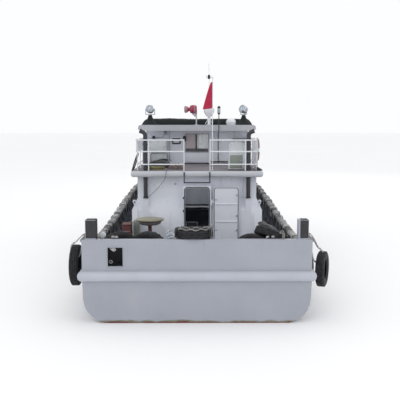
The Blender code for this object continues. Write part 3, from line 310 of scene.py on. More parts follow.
def deckFinish():
    # worn paint on top faces, pale paint on the edges
    made = newFinish("deckPaint", 0.75)
    tree = made.node_tree
    worn = mottled(tree, paintTones["deck"], mapped(tree), 1.8, 0.25)
    bare = blotches(tree, (4.5, 8, 0.7), (0.60, 0.0), (0.70, 1.0))
    worn = blendColour(tree, times(tree, bare, 0.5), worn, (0.46, 0.42, 0.42))
    edge = mottled(tree, paintTones["edge"], mapped(tree), 1.5, 0.06)
    top = band(tree, facing(tree), 0.9, 2.0, 0.06)
    shade(tree, blendColour(tree, top, edge, worn))
    relief(tree, noise(tree, mapped(tree), 90.0, 3), 0.25, 0.004)
    return made


def metalPaint(name, tone, rusty=0.35, roughness=0.55, metallic=0.1):
    # mottled paint with rust where the noise is high
    made = newFinish(name, roughness, metallic)
    tree = made.node_tree
    base = mottled(tree, tone, mapped(tree), 3.0, 0.25)
    patches = blotches(tree, (7.0, 8, 0.7), (0.60, 0.0), (0.70, 1.0))
    base = blendColour(tree, times(tree, patches, rusty), base, paintTones["rust"])
    rough = blotches(tree, (6.0, 5), (0.3, roughness - 0.12), (0.7, roughness + 0.15))
    shade(tree, base, rough)
    relief(tree, noise(tree, mapped(tree), 30.0, 5), 0.2, 0.004)
    return made


def hornFinish():
    # faded crimson on the horn, pale grey on its post
    made = newFinish("hornPaint", 0.45, 0.1)
    tree = made.node_tree
    z = parts3(tree)[2]
    red = mottled(tree, (0.36, 0.028, 0.075), mapped(tree), 4.0, 0.3)
    worn = blotches(tree, (14.0, 5, 0.7), (0.50, 0.0), (0.62, 0.8))
    red = blendColour(tree, worn, red, (0.36, 0.24, 0.29))
    pale = mottled(tree, (0.50, 0.51, 0.53), mapped(tree), 3.0, 0.15)
    shade(tree, blendColour(tree, band(tree, z, 4.99, 9.0, 0.02), pale, red))
    relief(tree, noise(tree, mapped(tree), 30.0, 5), 0.2, 0.004)
    return made


def rubberFinish(name, tone=(0.007, 0.0075, 0.011), dusty=(0.034, 0.035, 0.043)):
    # dark rubber, dusty where the noise is high
    made = newFinish(name, 0.72)
    tree = made.node_tree
    dust = blotches(tree, (9.0, 8, 0.65), (0.50, 0.0), (0.78, 0.75))
    shade(tree, blendColour(tree, dust, tone, dusty), blotches(tree, (14, 4), (0.3, 0.55), (0.7, 0.85)))
    relief(tree, noise(tree, mapped(tree), 60.0, 4), 0.3, 0.004)
    return made


def ropeFinish(name, tone, dark):
    # slanting strands, with painted shade in the darker grooves between them
    made = newFinish(name, 0.9)
    tree = made.node_tree
    wave = addNode(
        tree, "ShaderNodeTexWave", {"bands_direction": "DIAGONAL"},
        {"Vector": mapped(tree), "Scale": 16.0, "Distortion": 0.6, "Detail": 2.0},
    )
    soil = blotches(tree, (5.0, 5), (0.40, 0.0), (0.70, 1.0))
    # painted shade: the grooves between the strands take the dark colour
    base = blendColour(tree, ramp(tree, wave.outputs["Fac"], [(0.1, 0.0), (0.5, 1.0)]), dark, tone)
    shade(tree, blendColour(tree, times(tree, soil, 0.6), base, dark))
    relief(tree, wave.outputs["Fac"], 0.6, 0.006)
    return made


def clothFinish(name, tone, pale, weave=0.35, sheen=0.3):
    # faded cloth whose bumps are crossed waves of thread over wide folds
    made = newFinish(name, 0.85)
    tree = made.node_tree
    tree.nodes["Principled BSDF"].inputs["Sheen Weight"].default_value = sheen
    faded = blotches(tree, (2.4, 5), (0.35, 0.0), (0.75, 1.0))
    shade(tree, blendColour(tree, faded, tone, pale))
    warp, weft = (
        addNode(tree, "ShaderNodeTexWave", {"bands_direction": way}, {"Vector": mapped(tree), "Scale": 90.0})
        for way in "XZ"
    )
    threads = plus(tree, warp.outputs["Fac"], weft.outputs["Fac"])
    folds = times(tree, noise(tree, mapped(tree), 4.0, 5), 6.0)
    relief(tree, plus(tree, times(tree, threads, 0.15), folds), weave, 0.01)
    return made


def steelFinish(name, tone, roughness=0.35):
    # mottled bare metal with brown stains where the noise is high
    made = newFinish(name, roughness, 0.85)
    tree = made.node_tree
    base = mottled(tree, tone, mapped(tree), 6.0, 0.25)
    stains = blotches(tree, (11, 7, 0.7), (0.58, 0.0), (0.72, 0.8))
    shade(
        tree, blendColour(tree, stains, base, (0.20, 0.13, 0.08)),
        blotches(tree, (18, 5), (0.3, roughness - 0.1), (0.7, roughness + 0.2)),
    )
    relief(tree, noise(tree, mapped(tree, (60, 60, 400)), 1.0, 2), 0.15, 0.002)
    return made


def plasticFinish(name, tone, roughness=0.5):
    # even plastic with upright streaks of dirt
    made = newFinish(name, roughness)
    tree = made.node_tree
    base = mottled(tree, tone, mapped(tree), 3.0, 0.10)
    dirt = ramp(tree, noise(tree, mapped(tree, (10, 10, 3)), 1.0, 6), [(0.58, 0.0), (0.80, 0.55)])
    shade(tree, blendColour(tree, dirt, base, paintTones["grime"]))
    relief(tree, noise(tree, mapped(tree), 120.0, 2), 0.1, 0.002)
    return made


def glassFinish(name, tone=(0.55, 0.60, 0.63), alpha=0.32):
    # a dusty pane that still shows what is behind it
    made = newFinish(name, 0.08)
    tree = made.node_tree
    shader = tree.nodes["Principled BSDF"]
    shader.inputs["Alpha"].default_value = alpha
    shader.inputs["IOR"].default_value = 1.5
    film = blotches(tree, (3.0, 5), (0.35, 0.05), (0.8, 0.25))
    shade(tree, mottled(tree, tone, mapped(tree), 2.0, 0.15), film)
    return made


def barePlane(name, tone, roughness):
    # a plain matt surface
    made = newFinish(name, roughness)
    tree = made.node_tree
    shade(tree, mottled(tree, tone, mapped(tree), 0.05, 0.015))
    return made


finishes = {
    "hull": hullFinish(),
    "bulwark": bulwarkFinish(),
    "stern": housePaint("sternPaint", paintTones["hull"], 0.6),
    "strake": housePaint("strakePaint", (0.47, 0.50, 0.57), 0.15),
    "house": housePaint("housePaint", paintTones["house"]),
    "roofEdge": housePaint("roofPaint", (0.43, 0.445, 0.48)),
    "mast": housePaint("mastPaint", (0.76, 0.78, 0.82), 0.5),
    "deck": deckFinish(),
    "charcoal": metalPaint("charcoalPaint", (0.040, 0.041, 0.050), 0.12),
    "bottom": metalPaint("bottomPaint", (0.17, 0.03, 0.028), 0.2, 0.8),
    "engine": metalPaint("enginePaint", (0.05, 0.10, 0.14), 0.2, 0.45),
    "horn": hornFinish(),
    "redBox": metalPaint("redBoxPaint", (0.115, 0.034, 0.032), 0.35, 0.6),
    "bowl": metalPaint("bowlPaint", (0.19, 0.17, 0.17), 0.3, 0.6),
    "lining": plasticFinish("greyLining", (0.42, 0.44, 0.48)),
    "darkLining": plasticFinish("darkLining", (0.012, 0.013, 0.018), 0.6),
    "plastic": plasticFinish("palePlastic", (0.62, 0.66, 0.68)),
    "lockerFront": plasticFinish("lockerFront", (0.25, 0.28, 0.25)),
    "rubber": rubberFinish("tyreRubber"),
    "seal": rubberFinish("sealRubber", (0.03, 0.03, 0.034)),
    "darkRope": ropeFinish("oldRope", (0.075, 0.073, 0.075), (0.02, 0.02, 0.022)),
    "rope": ropeFinish("greyRope", (0.33, 0.325, 0.32), (0.09, 0.088, 0.088)),
    "whiteRope": ropeFinish("whiteRope", (0.72, 0.71, 0.71), (0.26, 0.25, 0.25)),
    "yellowRope": ropeFinish("yellowRope", (0.40, 0.37, 0.16), (0.05, 0.055, 0.035)),
    "net": ropeFinish("netCord", (0.26, 0.20, 0.19), (0.08, 0.06, 0.065)),
    "tarpaulin": clothFinish("tarpaulin", (0.002, 0.006, 0.006), (0.007, 0.012, 0.012), 0.35, 0.0),
    "flag": clothFinish("flagCloth", (0.42, 0.012, 0.055), (0.50, 0.04, 0.085), 0.25, 0.1),
    "bag": clothFinish("bagCloth", (0.012, 0.012, 0.016), (0.04, 0.04, 0.05)),
    "seat": clothFinish("seatCloth", (0.05, 0.055, 0.075), (0.09, 0.095, 0.12)),
    "blind": clothFinish("blindCloth", (0.50, 0.45, 0.47), (0.60, 0.55, 0.56), 0.1),
    "rimPaint": metalPaint("rimPaint", (0.30, 0.29, 0.21), 0.4, 0.5),
    "pinkPaint": metalPaint("pinkPaint", (0.40, 0.26, 0.30), 0.15, 0.45),
    "zinc": steelFinish("zincBlock", (0.42, 0.43, 0.44), 0.6),
    "steel": steelFinish("bareSteel", (0.50, 0.53, 0.58)),
    "bronze": steelFinish("castBronze", (0.46, 0.27, 0.10), 0.4),
    "chrome": steelFinish("lampMetal", (0.62, 0.66, 0.72), 0.22),
    "glass": glassFinish("windowGlass"),
    "lens": glassFinish("lampGlass", (0.45, 0.55, 0.62), 0.75),
    "lifebuoy": plasticFinish("lifebuoyShell", (0.13, 0.035, 0.04)),
}


# Meshes. A part is (points, list of face arrays, finish name).

def gridFaces(rows, columns, wrapRows=False, wrapColumns=False):
    # quads between neighbours on a grid of points, joined round where it wraps
    row = np.arange(rows if wrapRows else rows - 1)[:, None]
    column = np.arange(columns if wrapColumns else columns - 1)[None, :]
    nextRow, nextColumn = (row + 1) % rows, (column + 1) % columns
    corners = [
        row * columns + column, row * columns + nextColumn,
        nextRow * columns + nextColumn, nextRow * columns + column,
    ]
    return np.stack(corners, -1).reshape(-1, 4)


def unit(vectors):
    # each vector divided by its length
    return vectors / np.maximum(np.linalg.norm(vectors, axis=-1, keepdims=True), 1e-9)


def fromSurface(grid, finish, wrapRows=False, wrapColumns=False, capped=False):
    # a grid of points (rows, columns, 3); caps close the first and last row
    rows, columns = grid.shape[:2]
    faces = [gridFaces(rows, columns, wrapRows, wrapColumns)]
    if capped:
        first = np.arange(columns)[None, :]
        faces += [first, first + (rows - 1) * columns]
    return grid.reshape(-1, 3), faces, finish


def pathFrames(path, closed=False):
    # two directions across the path at each point, from one fixed reference direction
    if closed:
        tangent = np.roll(path, -1, 0) - np.roll(path, 1, 0)
    else:
        tangent = np.gradient(path, axis=0)
    tangent = unit(tangent)
    reference = np.eye(3)[np.argmin(np.abs(tangent).max(0))]
    side = unit(np.cross(tangent, reference))
    return side, np.cross(side, tangent)


def tube(path, radius, finish, sides=10, closed=False):
    # a circle of the radius, carried along the path
    path = np.asarray(path, float)
    side, up = pathFrames(path, closed)
    turn = 2 * math.pi * np.arange(sides) / sides
    radius = np.broadcast_to(np.asarray(radius, float).reshape(-1, 1, 1), (len(path), 1, 1))
    ring = side[:, None] * np.cos(turn)[None, :, None] + up[:, None] * np.sin(turn)[None, :, None]
    grid = path[:, None] + ring * radius
    return fromSurface(grid, finish, closed, True, not closed)


def smoothPath(points, count):
    # a Catmull-Rom curve through the points, in even steps of its parameter
    points = np.asarray(points, float)
    ends = np.vstack([2 * points[0] - points[1], points, 2 * points[-1] - points[-2]])
    place = np.linspace(0, len(points) - 1 - 1e-9, count)
    start = place.astype(int)
    t = (place - start)[:, None]
    a, b, c, d = (ends[start + k] for k in range(4))
    return 0.5 * (2 * b + (c - a) * t + (2 * a - 5 * b + 4 * c - d) * t**2 + (3 * b - a - 3 * c + d) * t**3)


def lathe(profile, centre, axis, finish, sides=32, closed=False):
    # a profile of (radius, height) turned about the axis; a closed profile makes a ring
    profile = np.asarray(profile, float)
    axis = unit(np.asarray(axis, float))
    level = np.cross((0, 0, 1), axis) if abs(axis[2]) < 0.99 else np.array((1.0, 0, 0))
    level = unit(level)
    upward = np.cross(axis, level)
    turn = 2 * math.pi * np.arange(sides) / sides
    spoke = level * np.cos(turn)[:, None] + upward * np.sin(turn)[:, None]
    grid = np.asarray(centre, float) + spoke[:, None] * profile[None, :, :1] + axis * profile[None, :, 1:]
    if closed:
        return fromSurface(grid, finish, True, True)
    return fromSurface(grid.transpose(1, 0, 2), finish, False, True, True)


def roundedOutline(half, radius, steps=4):
    # a rectangle of half sizes with rounded corners, anticlockwise
    radius = min(radius, min(half) * 0.999)
    turn = np.linspace(0, math.pi / 2, steps + 1)
    outline = []
    for index, (sx, sy) in enumerate(((1, 1), (-1, 1), (-1, -1), (1, -1))):
        angle = turn + index * math.pi / 2
        outline.append(np.stack([
            sx * (half[0] - radius) + radius * np.cos(angle),
            sy * (half[1] - radius) + radius * np.sin(angle),
        ], -1))
    return np.vstack(outline)


def roundedBox(low, high, finish, radius=0.01, steps=3):
    # rounded rectangles stacked from floor to top, drawn in at both ends
    low, high = np.asarray(low, float), np.asarray(high, float)
    middle, half = (low + high) / 2, (high - low) / 2
    radius = min(radius, half.min() * 0.98)
    turn = np.linspace(0, math.pi / 2, steps + 1)
    insets = radius * (1 - np.sin(turn))
    rises = radius * (1 - np.cos(turn))
    levels = [(i, low[2] + r) for i, r in zip(insets, rises)]
    levels += [(i, high[2] - r) for i, r in zip(insets[::-1], rises[::-1])]
    rings = []
    for inset, z in levels:
        outline = roundedOutline(half[:2] - inset, max(radius - inset, 1e-4), steps)
        rings.append(np.column_stack([outline + middle[:2], np.full(len(outline), z)]))
    return fromSurface(np.stack(rings), finish, False, True, True)


def plate(outline, low, high, finish, axis=1):
    # an outline in the other two directions, carried from low to high along the axis
    outline = np.asarray(outline, float)
    rings = []
    for value in (low, high):
        rings.append(np.insert(outline, axis, value, axis=1))
    return fromSurface(np.stack(rings), finish, False, True, True)


def addPiece(name, parts, rides="boat", sharp=38, bevel=0.0):
    # joins the parts' arrays into one mesh and gives each its finish
    points, faces, picks, names, start = [], [], [], [], 0
    for partPoints, partFaces, finish in parts:
        if finish not in names:
            names.append(finish)
        for block in partFaces:
            faces += (np.asarray(block) + start).tolist()
            picks += [names.index(finish)] * len(block)
        points.append(np.asarray(partPoints, float).reshape(-1, 3))
        start += len(points[-1])
    mesh = bpy.data.meshes.new(name)
    mesh.from_pydata(np.vstack(points).tolist(), [], faces)
    mesh.polygons.foreach_set("material_index", np.array(picks, np.int32))
    for finish in names:
        mesh.materials.append(finishes[finish])
    shape = bmesh.new()
    shape.from_mesh(mesh)
    bmesh.ops.remove_doubles(shape, verts=shape.verts, dist=1e-6)
    bmesh.ops.recalc_face_normals(shape, faces=shape.faces)
    shape.to_mesh(mesh)
    shape.free()
    mesh.shade_smooth()
    mesh.set_sharp_from_angle(angle=math.radians(sharp))
    made = bpy.data.objects.new(name, mesh)
    bpy.context.scene.collection.objects.link(made)
    if bevel:
        edge = made.modifiers.new("edges", "BEVEL")
        edge.width, edge.segments, edge.limit_method = bevel, 2, "ANGLE"
    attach(made, rides)
    return made


def at(x, d, z):
    # the point at x, a distance d forward of the stern and a height z
    return np.array((x, sternY + d, z))


print("finishes and helpers ready")

# Camera, floor and lights

view = {
    "camera": (0.0, -25.101, 4.687), "down": 6.63, "turn": -0.262, "lens": 59.06,
    "sky": (0.985, 0.99, 1.0), "skyPower": 1.0,
}
camera = bpy.data.objects.new("camera", bpy.data.cameras.new("camera"))
bpy.context.scene.collection.objects.link(camera)
camera.location = view["camera"]
camera.rotation_euler = (math.radians(90 - view["down"]), 0, math.radians(view["turn"]))
camera.data.lens = view["lens"]
camera.data.sensor_width = 36
camera.data.clip_end = 500
bpy.context.scene.camera = camera
bpy.context.scene.view_settings.view_transform = "Standard"

world = bpy.data.worlds.new("sky")
world.use_nodes = True
world.node_tree.nodes["Background"].inputs["Color"].default_value = (*view["sky"], 1)
world.node_tree.nodes["Background"].inputs["Strength"].default_value = view["skyPower"]
bpy.context.scene.world = world

finishes["floor"] = barePlane("paleFloor", (0.945, 0.945, 0.95), 0.8)
floorMesh = bpy.data.meshes.new("floor")
floorMesh.from_pydata([(-300, -300, 0), (300, -300, 0), (300, 300, 0), (-300, 300, 0)], [], [(0, 1, 2, 3)])
floorMesh.materials.append(finishes["floor"])
floor = bpy.data.objects.new("floor", floorMesh)
bpy.context.scene.collection.objects.link(floor)

softLights = {
    "key": ((-14, -34, 26), (0, -4, 2), 16, 1000, (1.0, 0.985, 0.96)),
    "fill": ((22, -26, 12), (0, -4, 2), 14, 250, (0.92, 0.95, 1.0)),
    "top": ((0, 2, 30), (0, 0, 0), 24, 700, (1.0, 1.0, 1.0)),
    "bow": ((10, 34, 18), (0, 4, 2), 16, 500, (1.0, 0.99, 0.97)),
    "passage": ((0, -5.9, 3.15), (0, -4.7, 2.45), 0.5, 8, (0.95, 0.97, 1.0)),
    "engineRoom": ((0, -4.4, 1.95), (0, -3.4, 0.6), 0.4, 5, (0.92, 0.95, 1.0)),
}
for lightName, (place, target, size, power, colour) in softLights.items():
    lamp = bpy.data.lights.new(lightName, "AREA")
    lamp.energy, lamp.size, lamp.color = power, size, colour
    lampObject = bpy.data.objects.new(lightName, lamp)
    bpy.context.scene.collection.objects.link(lampObject)
    lampObject.location = place
    lampObject.rotation_euler = (Vector(target) - Vector(place)).to_track_quat("-Z", "Y").to_euler()

print("camera, floor and lights ready")

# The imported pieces' finishes

nodeFinishes = {
    "hull": ["hull"],
    "bulwark": ["bulwark_port", "bulwark_starboard"],
    "stern": ["bulwark_transom"],
    "house": [
        "deckhouse_aft_wall", "deckhouse_front_wall", "deckhouse_port_wall", "deckhouse_starboard_wall",
        "wheelhouse_aft_wall", "wheelhouse_front_wall", "wheelhouse_port_wall",
        "wheelhouse_starboard_wall", "aft_door", "front_door",
    ],
    "roofEdge": ["wheelhouse_roof"],
    "strake": ["rubbing_strake"],
    "bowl": ["pedestal_basin"],
    "mast": ["mast", "flagstaff", "aerial_dome", "railing_port", "railing_starboard"],
    "deck": ["upper_deck", "wheelhouse_floor", "cabin_floor", "forepeak_lid"],
    "charcoal": [
        "exhaust_port", "exhaust_starboard", "ladder_hanger", "lamp_pole", "bow_bitts", "helm_wheel",
    ],
    "bottom": ["rudder_port", "rudder_starboard"],
    "engine": ["engines"],
    "horn": ["loudhailer"],
    "lining": ["cabin_bulkhead", "console"],
    "plastic": ["wall_cabinet", "aircon_unit", "deck_locker"],
    "steel": ["capstan", "searchlight_port", "searchlight_starboard"],
    "bronze": ["propeller_port", "propeller_starboard"],
    "rubber": [
        "tyre_row_port", "tyre_row_starboard", "quarter_tyre_port", "quarter_tyre_starboard",
        "deck_tyres_port", "deck_tyres_centre", "deck_tyres_starboard",
    ],
    "tarpaulin": ["roof_cover"],
    "flag": ["flag"],
    "seat": ["cabin_benches", "helm_seat"],
}


def dressNode(name, finish, angle=35):
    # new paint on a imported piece, with its loose triangles welded and its soft edges smoothed
    piece = nodes[name]
    piece.data.materials.clear()
    piece.data.materials.append(finishes[finish])
    piece.data.shade_smooth()
    weld = piece.modifiers.new("weld", "WELD")
    weld.merge_threshold = 0.0001
    split = piece.modifiers.new("split", "EDGE_SPLIT")
    split.split_angle = math.radians(angle)


for finish, names in nodeFinishes.items():
    for name in names:
        if name in nodes:
            dressNode(name, finish)

print("packed pieces dressed")

# Hull lines, by the share u of the waterline's length

hullLines = {
    "length": 19.0, "half": 2.70, "bowStart": 0.60, "fullness": (2.4, 0.72), "rake": 0.60,
    "deck": 1.10, "sheerStart": 0.70, "sheerRise": 0.40, "sideTop": 1.58, "sideRise": 0.87,
    "sternTop": 1.94, "step": (0.9, 1.7), "cap": 0.05, "plate": 0.035, "strakeOut": 0.12,
}


def bowShare(u):
    # 0 up to where the bow starts, then evenly up to 1 at the stem
    return np.clip((u - hullLines["bowStart"]) / (1 - hullLines["bowStart"]), 0, None)


def deckHeight(u):
    # level, then rising with the square of the distance towards the bow
    start = hullLines["sheerStart"]
    return hullLines["deck"] + hullLines["sheerRise"] * np.clip((u - start) / (1 - start), 0, None) ** 2


def deckEdge(u, side):
    # the deck's edge: a full beam that closes to the stem as a power of the bow share
    power, root = hullLines["fullness"]
    half = hullLines["half"] * np.clip(1 - bowShare(u) ** power, 0, None) ** root
    y = sternY + u * hullLines["length"] + hullLines["rake"] * deckHeight(u) * bowShare(u) ** 2
    return np.stack([side * half, y, deckHeight(u)], -1)


def edgeOut(u, side):
    # the direction outwards from the deck's edge, in plan
    along = deckEdge(np.minimum(u + 1e-3, 1), side) - deckEdge(np.maximum(u - 1e-3, 0), side)
    out = np.stack([side * along[..., 1], -side * along[..., 0], np.zeros_like(along[..., 0])], -1)
    return unit(out)


def sideTop(d):
    # height of the side bulwark under its cap
    top = hullLines["sideTop"] + hullLines["sideRise"] * np.clip((d - 5) / 15, 0, None) ** 1.3
    start, end = hullLines["step"]
    share = np.clip((end - d) / (end - start), 0, 1)
    return top + (hullLines["sternTop"] - top) * share**2 * (3 - 2 * share)


# Tyres

tyreForm = {"sides": 96, "lugs": 24, "lugDepth": 0.012, "groove": 0.014}


def tyrePart(size, centre, axis, finish="rubber", phase=0.0):
    # a hollow carcass: tread with grooves, sidewalls, beads and inner wall, turned about the axis;
    # lugs are cut into the shoulders where a wave round the tyre is low
    radius, width = size
    deep = tyreForm["groove"]
    outer = [
        (0.57, 0.30), (0.60, 0.36), (0.64, 0.385), (0.70, 0.46), (0.80, 0.50), (0.88, 0.485),
        (0.935, 0.44), (0.975, 0.40), (0.995, 0.34), (1.0, 0.27), (1.0, 0.21),
    ]
    bottom = 1.0 - deep / radius
    crown = [(bottom, 0.195), (bottom, 0.165), (1.0, 0.15), (1.0, 0.03), (bottom, 0.015)]
    half = np.array(outer + crown)
    wall = [(0.93, 0.0), (0.925, 0.30), (0.86, 0.40), (0.78, 0.42), (0.68, 0.36), (0.60, 0.27)]
    wall = np.array(wall)
    mirrored = half[::-1] * (1, -1)
    loop = np.vstack([half, mirrored, wall[:0:-1] * (1, -1), wall])
    profile = loop * (radius, width)
    turn = 2 * math.pi * np.arange(tyreForm["sides"]) / tyreForm["sides"] + phase
    across = np.abs(loop[:, 1])
    shoulder = np.isclose(loop[:, 0], 1.0, atol=0.03) & (across > 0.19) & (across < 0.42)
    low = np.cos(tyreForm["lugs"] * turn)[:, None] < -0.1
    drop = np.where(low & shoulder[None, :], tyreForm["lugDepth"], 0.0)
    axis = unit(np.asarray(axis, float))
    level = np.array((1.0, 0, 0)) if abs(axis[2]) > 0.99 else unit(np.cross((0, 0, 1), axis))
    upward = np.cross(axis, level)
    spoke = level * np.cos(turn)[:, None] + upward * np.sin(turn)[:, None]
    reach = profile[None, :, :1] - drop[..., None]
    grid = np.asarray(centre, float) + spoke[:, None] * reach + axis * profile[None, :, 1:]
    return fromSurface(grid, finish, True, True)


def rowTyre(index, side):
    # centre, outward direction and along direction of one hanging tyre
    d = 1.95 + 0.86 * index
    u = d / hullLines["length"]
    out = edgeOut(u, side)
    centre = deckEdge(u, side) + out * (hullLines["strakeOut"] + 0.101)
    centre[2] = sideTop(d) + hullLines["cap"] - 0.70
    return centre, out, d


def loopRope(points, radius, finish, count=44):
    # a closed rope through the points
    points = np.asarray(points, float)
    wrapped = np.vstack([points[-1:], points, points[:2]])
    step = 1 / (len(wrapped) - 1)
    keep = np.linspace(step, step + len(points) * step, count, endpoint=False)
    fine = smoothPath(wrapped, 600)
    return tube(fine[(keep * 599).astype(int)], radius, finish, 7, True)


sideNames = {-1: "port", 1: "starboard"}
for side in (-1, 1):
    tyres, ropes = [], []
    for index in range(16):
        centre, out, d = rowTyre(index, side)
        lean = seed.uniform(-0.05, 0.05, 2)
        ahead = np.array((-out[1], out[0], 0.0))
        axis = out + ahead * lean[0] + np.array((0, 0, lean[1]))
        scale = seed.uniform(0.95, 1.0)
        tyres.append(tyrePart((0.40 * scale, 0.20), centre, axis, phase=seed.uniform(0, 6)))
        top = sideTop(d) + hullLines["cap"]
        edge = deckEdge(d / hullLines["length"], side)
        for shift in (-0.07, 0.05):
            base = edge + ahead * (shift + seed.uniform(-0.02, 0.02))
            over = [
                (-0.075, -0.30), (-0.088, -0.05), (-0.075, 0.016), (0.03, 0.018), (0.075, -0.03),
                (0.20, -0.27), (0.30, -0.285), (0.345, -0.36), (0.335, -0.49), (0.26, -0.55),
                (0.17, -0.53), (0.085, -0.40), (0.06, -0.12), (0.045, 0.008), (-0.055, 0.012),
                (-0.075, -0.06), (-0.07, -0.28),
            ]
            points = [base + out * o + np.array((0, 0, top + z - base[2])) for o, z in over]
            ropes.append(loopRope(points, 0.014, "whiteRope" if (index + side) % 3 else "rope"))
        for turnIndex in range(5):
            # turns of rope wound round the cap rail
            base = edge + ahead * (-0.42 + 0.175 * turnIndex + seed.uniform(-0.05, 0.05))
            slant = seed.uniform(-0.04, 0.04)
            around = (
                (-0.088, -0.064), (-0.09, 0.0), (-0.07, 0.014),
                (0.03, 0.014), (0.05, 0.0), (0.046, -0.064),
            )
            points = [
                base + out * o + ahead * slant * (o + 0.02) * 8 + np.array((0, 0, top + z - base[2]))
                for o, z in around
            ]
            finish = "whiteRope" if seed.uniform() < 0.6 else "rope"
            ropes.append(loopRope(points, seed.uniform(0.013, 0.019), finish, 22))
            tail = seed.uniform(0.12, 0.50)
            hang = [(-0.092, -0.03), (-0.10, -0.5 * tail), (-0.088, -tail)]
            points = [base + out * o + np.array((0, 0, top + z - base[2])) for o, z in hang]
            ropes.append(tube(smoothPath(points, 8), 0.010, "rope" if turnIndex % 2 else "darkRope", 6))
    name = sideNames[side].capitalize()
    row = addPiece(f"sideTyres{name}", tyres)
    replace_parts(row, f"tyre_row_{sideNames[side]}")
    addPiece(f"sideRopes{name}", ropes)

bigTyre = (0.515, 0.24)


def turned(degrees):
    # a level axis, turned this far from straight astern
    return np.array((math.sin(math.radians(degrees)), -math.cos(math.radians(degrees)), 0))


loose = {
    "deckTyresPort": ("deck_tyres_port", [
        (bigTyre, at(-1.86, 0.60, 1.60), turned(24)), (bigTyre, at(-1.17, 0.62, 1.60), turned(-20))]),
    "deckTyresCentre": ("deck_tyres_centre", [
        ((0.45, 0.22), at(-0.08, 0.32, 2.112), (0, 0, 1)),
        ((0.482, 0.20), at(-0.08, 0.67, 1.568), turned(4))]),
    "deckTyresStarboard": ("deck_tyres_starboard", [
        (bigTyre, at(1.80, 0.93, 1.22), (0, 0, 1)), (bigTyre, at(1.84, 0.91, 1.485), (-0.10, 0, 1)),
        (bigTyre, at(1.87, 0.655, 1.945), (0.42, 0.25, 0.87)),
        ((0.50, 0.22), at(1.31, 0.45, 1.586), turned(-12))]),
    "quarterTyrePort": ("quarter_tyre_port", [(bigTyre, at(-2.941, 0.62, 1.27), (-1, 0, 0))]),
    "quarterTyreStarboard": ("quarter_tyre_starboard", [
        ((0.45, 0.24), at(3.0526, 0.60, 1.17), (math.cos(0.349), -math.sin(0.349), 0))]),
}
for name, (node, group) in loose.items():
    # the round form is kept inside the flat-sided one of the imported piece
    parts = [
        tyrePart((radius * 0.965, width * 0.92), centre, axis, phase=seed.uniform(0, 6))
        for (radius, width), centre, axis in group
    ]
    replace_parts(addPiece(name, parts), node)

print("tyres and their ropes ready")

# Roof cover, lamp feet and lashings

cover = {
    "half": 1.80, "start": 6.44, "end": 10.38, "foot": 4.654, "rise": 0.178, "slope": 0.17,
    "wrinkle": 0.007, "lump": 0.016, "steps": (150, 160),
}


def coverHeight(x, d):
    # a flat top that falls away near every edge, with folds and a few lumps on it
    edge = np.minimum(cover["half"] - np.abs(x), np.minimum(d - cover["start"], cover["end"] - d))
    share = np.clip(edge / cover["slope"], 0, 1)
    rise = cover["rise"] * np.sin(share * math.pi / 2) ** 0.8
    folds = np.sin(9 * x + 3 * np.sin(2.1 * d)) * np.sin(5.3 * d + 2 * np.sin(1.7 * x))
    ripples = np.sin(31 * x + 4 * np.sin(3.3 * d)) * np.cos(11 * d) * share
    lumps = np.sin(1.9 * x + 0.7) * np.cos(1.3 * d) + np.sin(3.7 * x - 1.1 * d)
    soft = cover["wrinkle"] * (folds + 0.5 * ripples) + cover["lump"] * 0.5 * lumps * share
    return cover["foot"] + rise + soft * np.clip(share * 3, 0.15, 1)


across = np.linspace(-cover["half"], cover["half"], cover["steps"][0])
lengthways = np.linspace(cover["start"], cover["end"], cover["steps"][1])
gridX, gridD = np.meshgrid(across, lengthways)
sheetGrid = np.stack([gridX, sternY + gridD, coverHeight(gridX, gridD)], -1)
coverSheet = addPiece("coverSheet", [fromSurface(sheetGrid, "tarpaulin")], sharp=80)
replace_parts(coverSheet, "roof_cover")
thick = coverSheet.modifiers.new("thickness", "SOLIDIFY")
thick.thickness, thick.offset = 0.004, 0

lashings = []
for d in (6.75, 7.55, 8.35, 9.15, 9.95):
    x = np.linspace(-1.80, 1.80, 70)
    height = coverHeight(x, np.full_like(x, d)) + 0.012
    path = np.stack([x, np.full_like(x, sternY + d), height], -1)
    outer = np.array([(s, sternY + d, z) for s, z in ((1.86, 4.60), (1.84, 4.64))])
    path = np.vstack([outer * (-1, 1, 1), path, outer[::-1]])
    lashings.append(tube(path, 0.008, "rope", 6))
addPiece("coverLashings", lashings)

lampFoot = [
    (0.27, 0.0), (0.265, 0.02), (0.215, 0.065), (0.15, 0.12), (0.10, 0.19), (0.07, 0.26), (0.06, 0.316),
]
feet = [lathe(lampFoot, at(side * 1.52, 6.42, 4.652), (0, 0, 1), "tarpaulin", 20) for side in (-1, 1)]
addPiece("lampFeet", feet)

print("roof cover ready")

# Flag

flagForm = {"staff": (0.428, 3.62), "top": 5.86, "hoist": 0.74, "fly": 0.96, "folds": 5, "drop": 0.03}


def flagGrid(rows=60, columns=160):
    # v runs down the hoist and u out along the fly, which is gathered in deep upright folds
    v, u = np.meshgrid(np.linspace(0, 1, rows), np.linspace(0, 1, columns), indexing="ij")
    width = 0.035 + 0.215 * v**0.85
    depth = (flagForm["fly"] / flagForm["folds"] / 5.1) * (0.92 + 0.08 * np.sin(4 * v + 1))
    fold = 2 * math.pi * flagForm["folds"] * u
    x = flagForm["staff"][0] - width * u + 0.10 * width * np.sin(2 * fold)
    y = sternY + flagForm["staff"][1] + depth * np.sin(fold) * np.clip(u * 12, 0, 1)
    z = flagForm["top"] - flagForm["hoist"] * v - flagForm["drop"] * u * (0.75 + 0.25 * v)
    return np.stack([x, y, z], -1)


flag = addPiece("redFlag", [fromSurface(flagGrid(), "flag")], sharp=80)
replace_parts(flag, "flag")
thick = flag.modifiers.new("thickness", "SOLIDIFY")
thick.thickness, thick.offset = 0.0015, 0

print("flag ready")

# Windows: a frame outside, a rubber seal and a pane in the wall

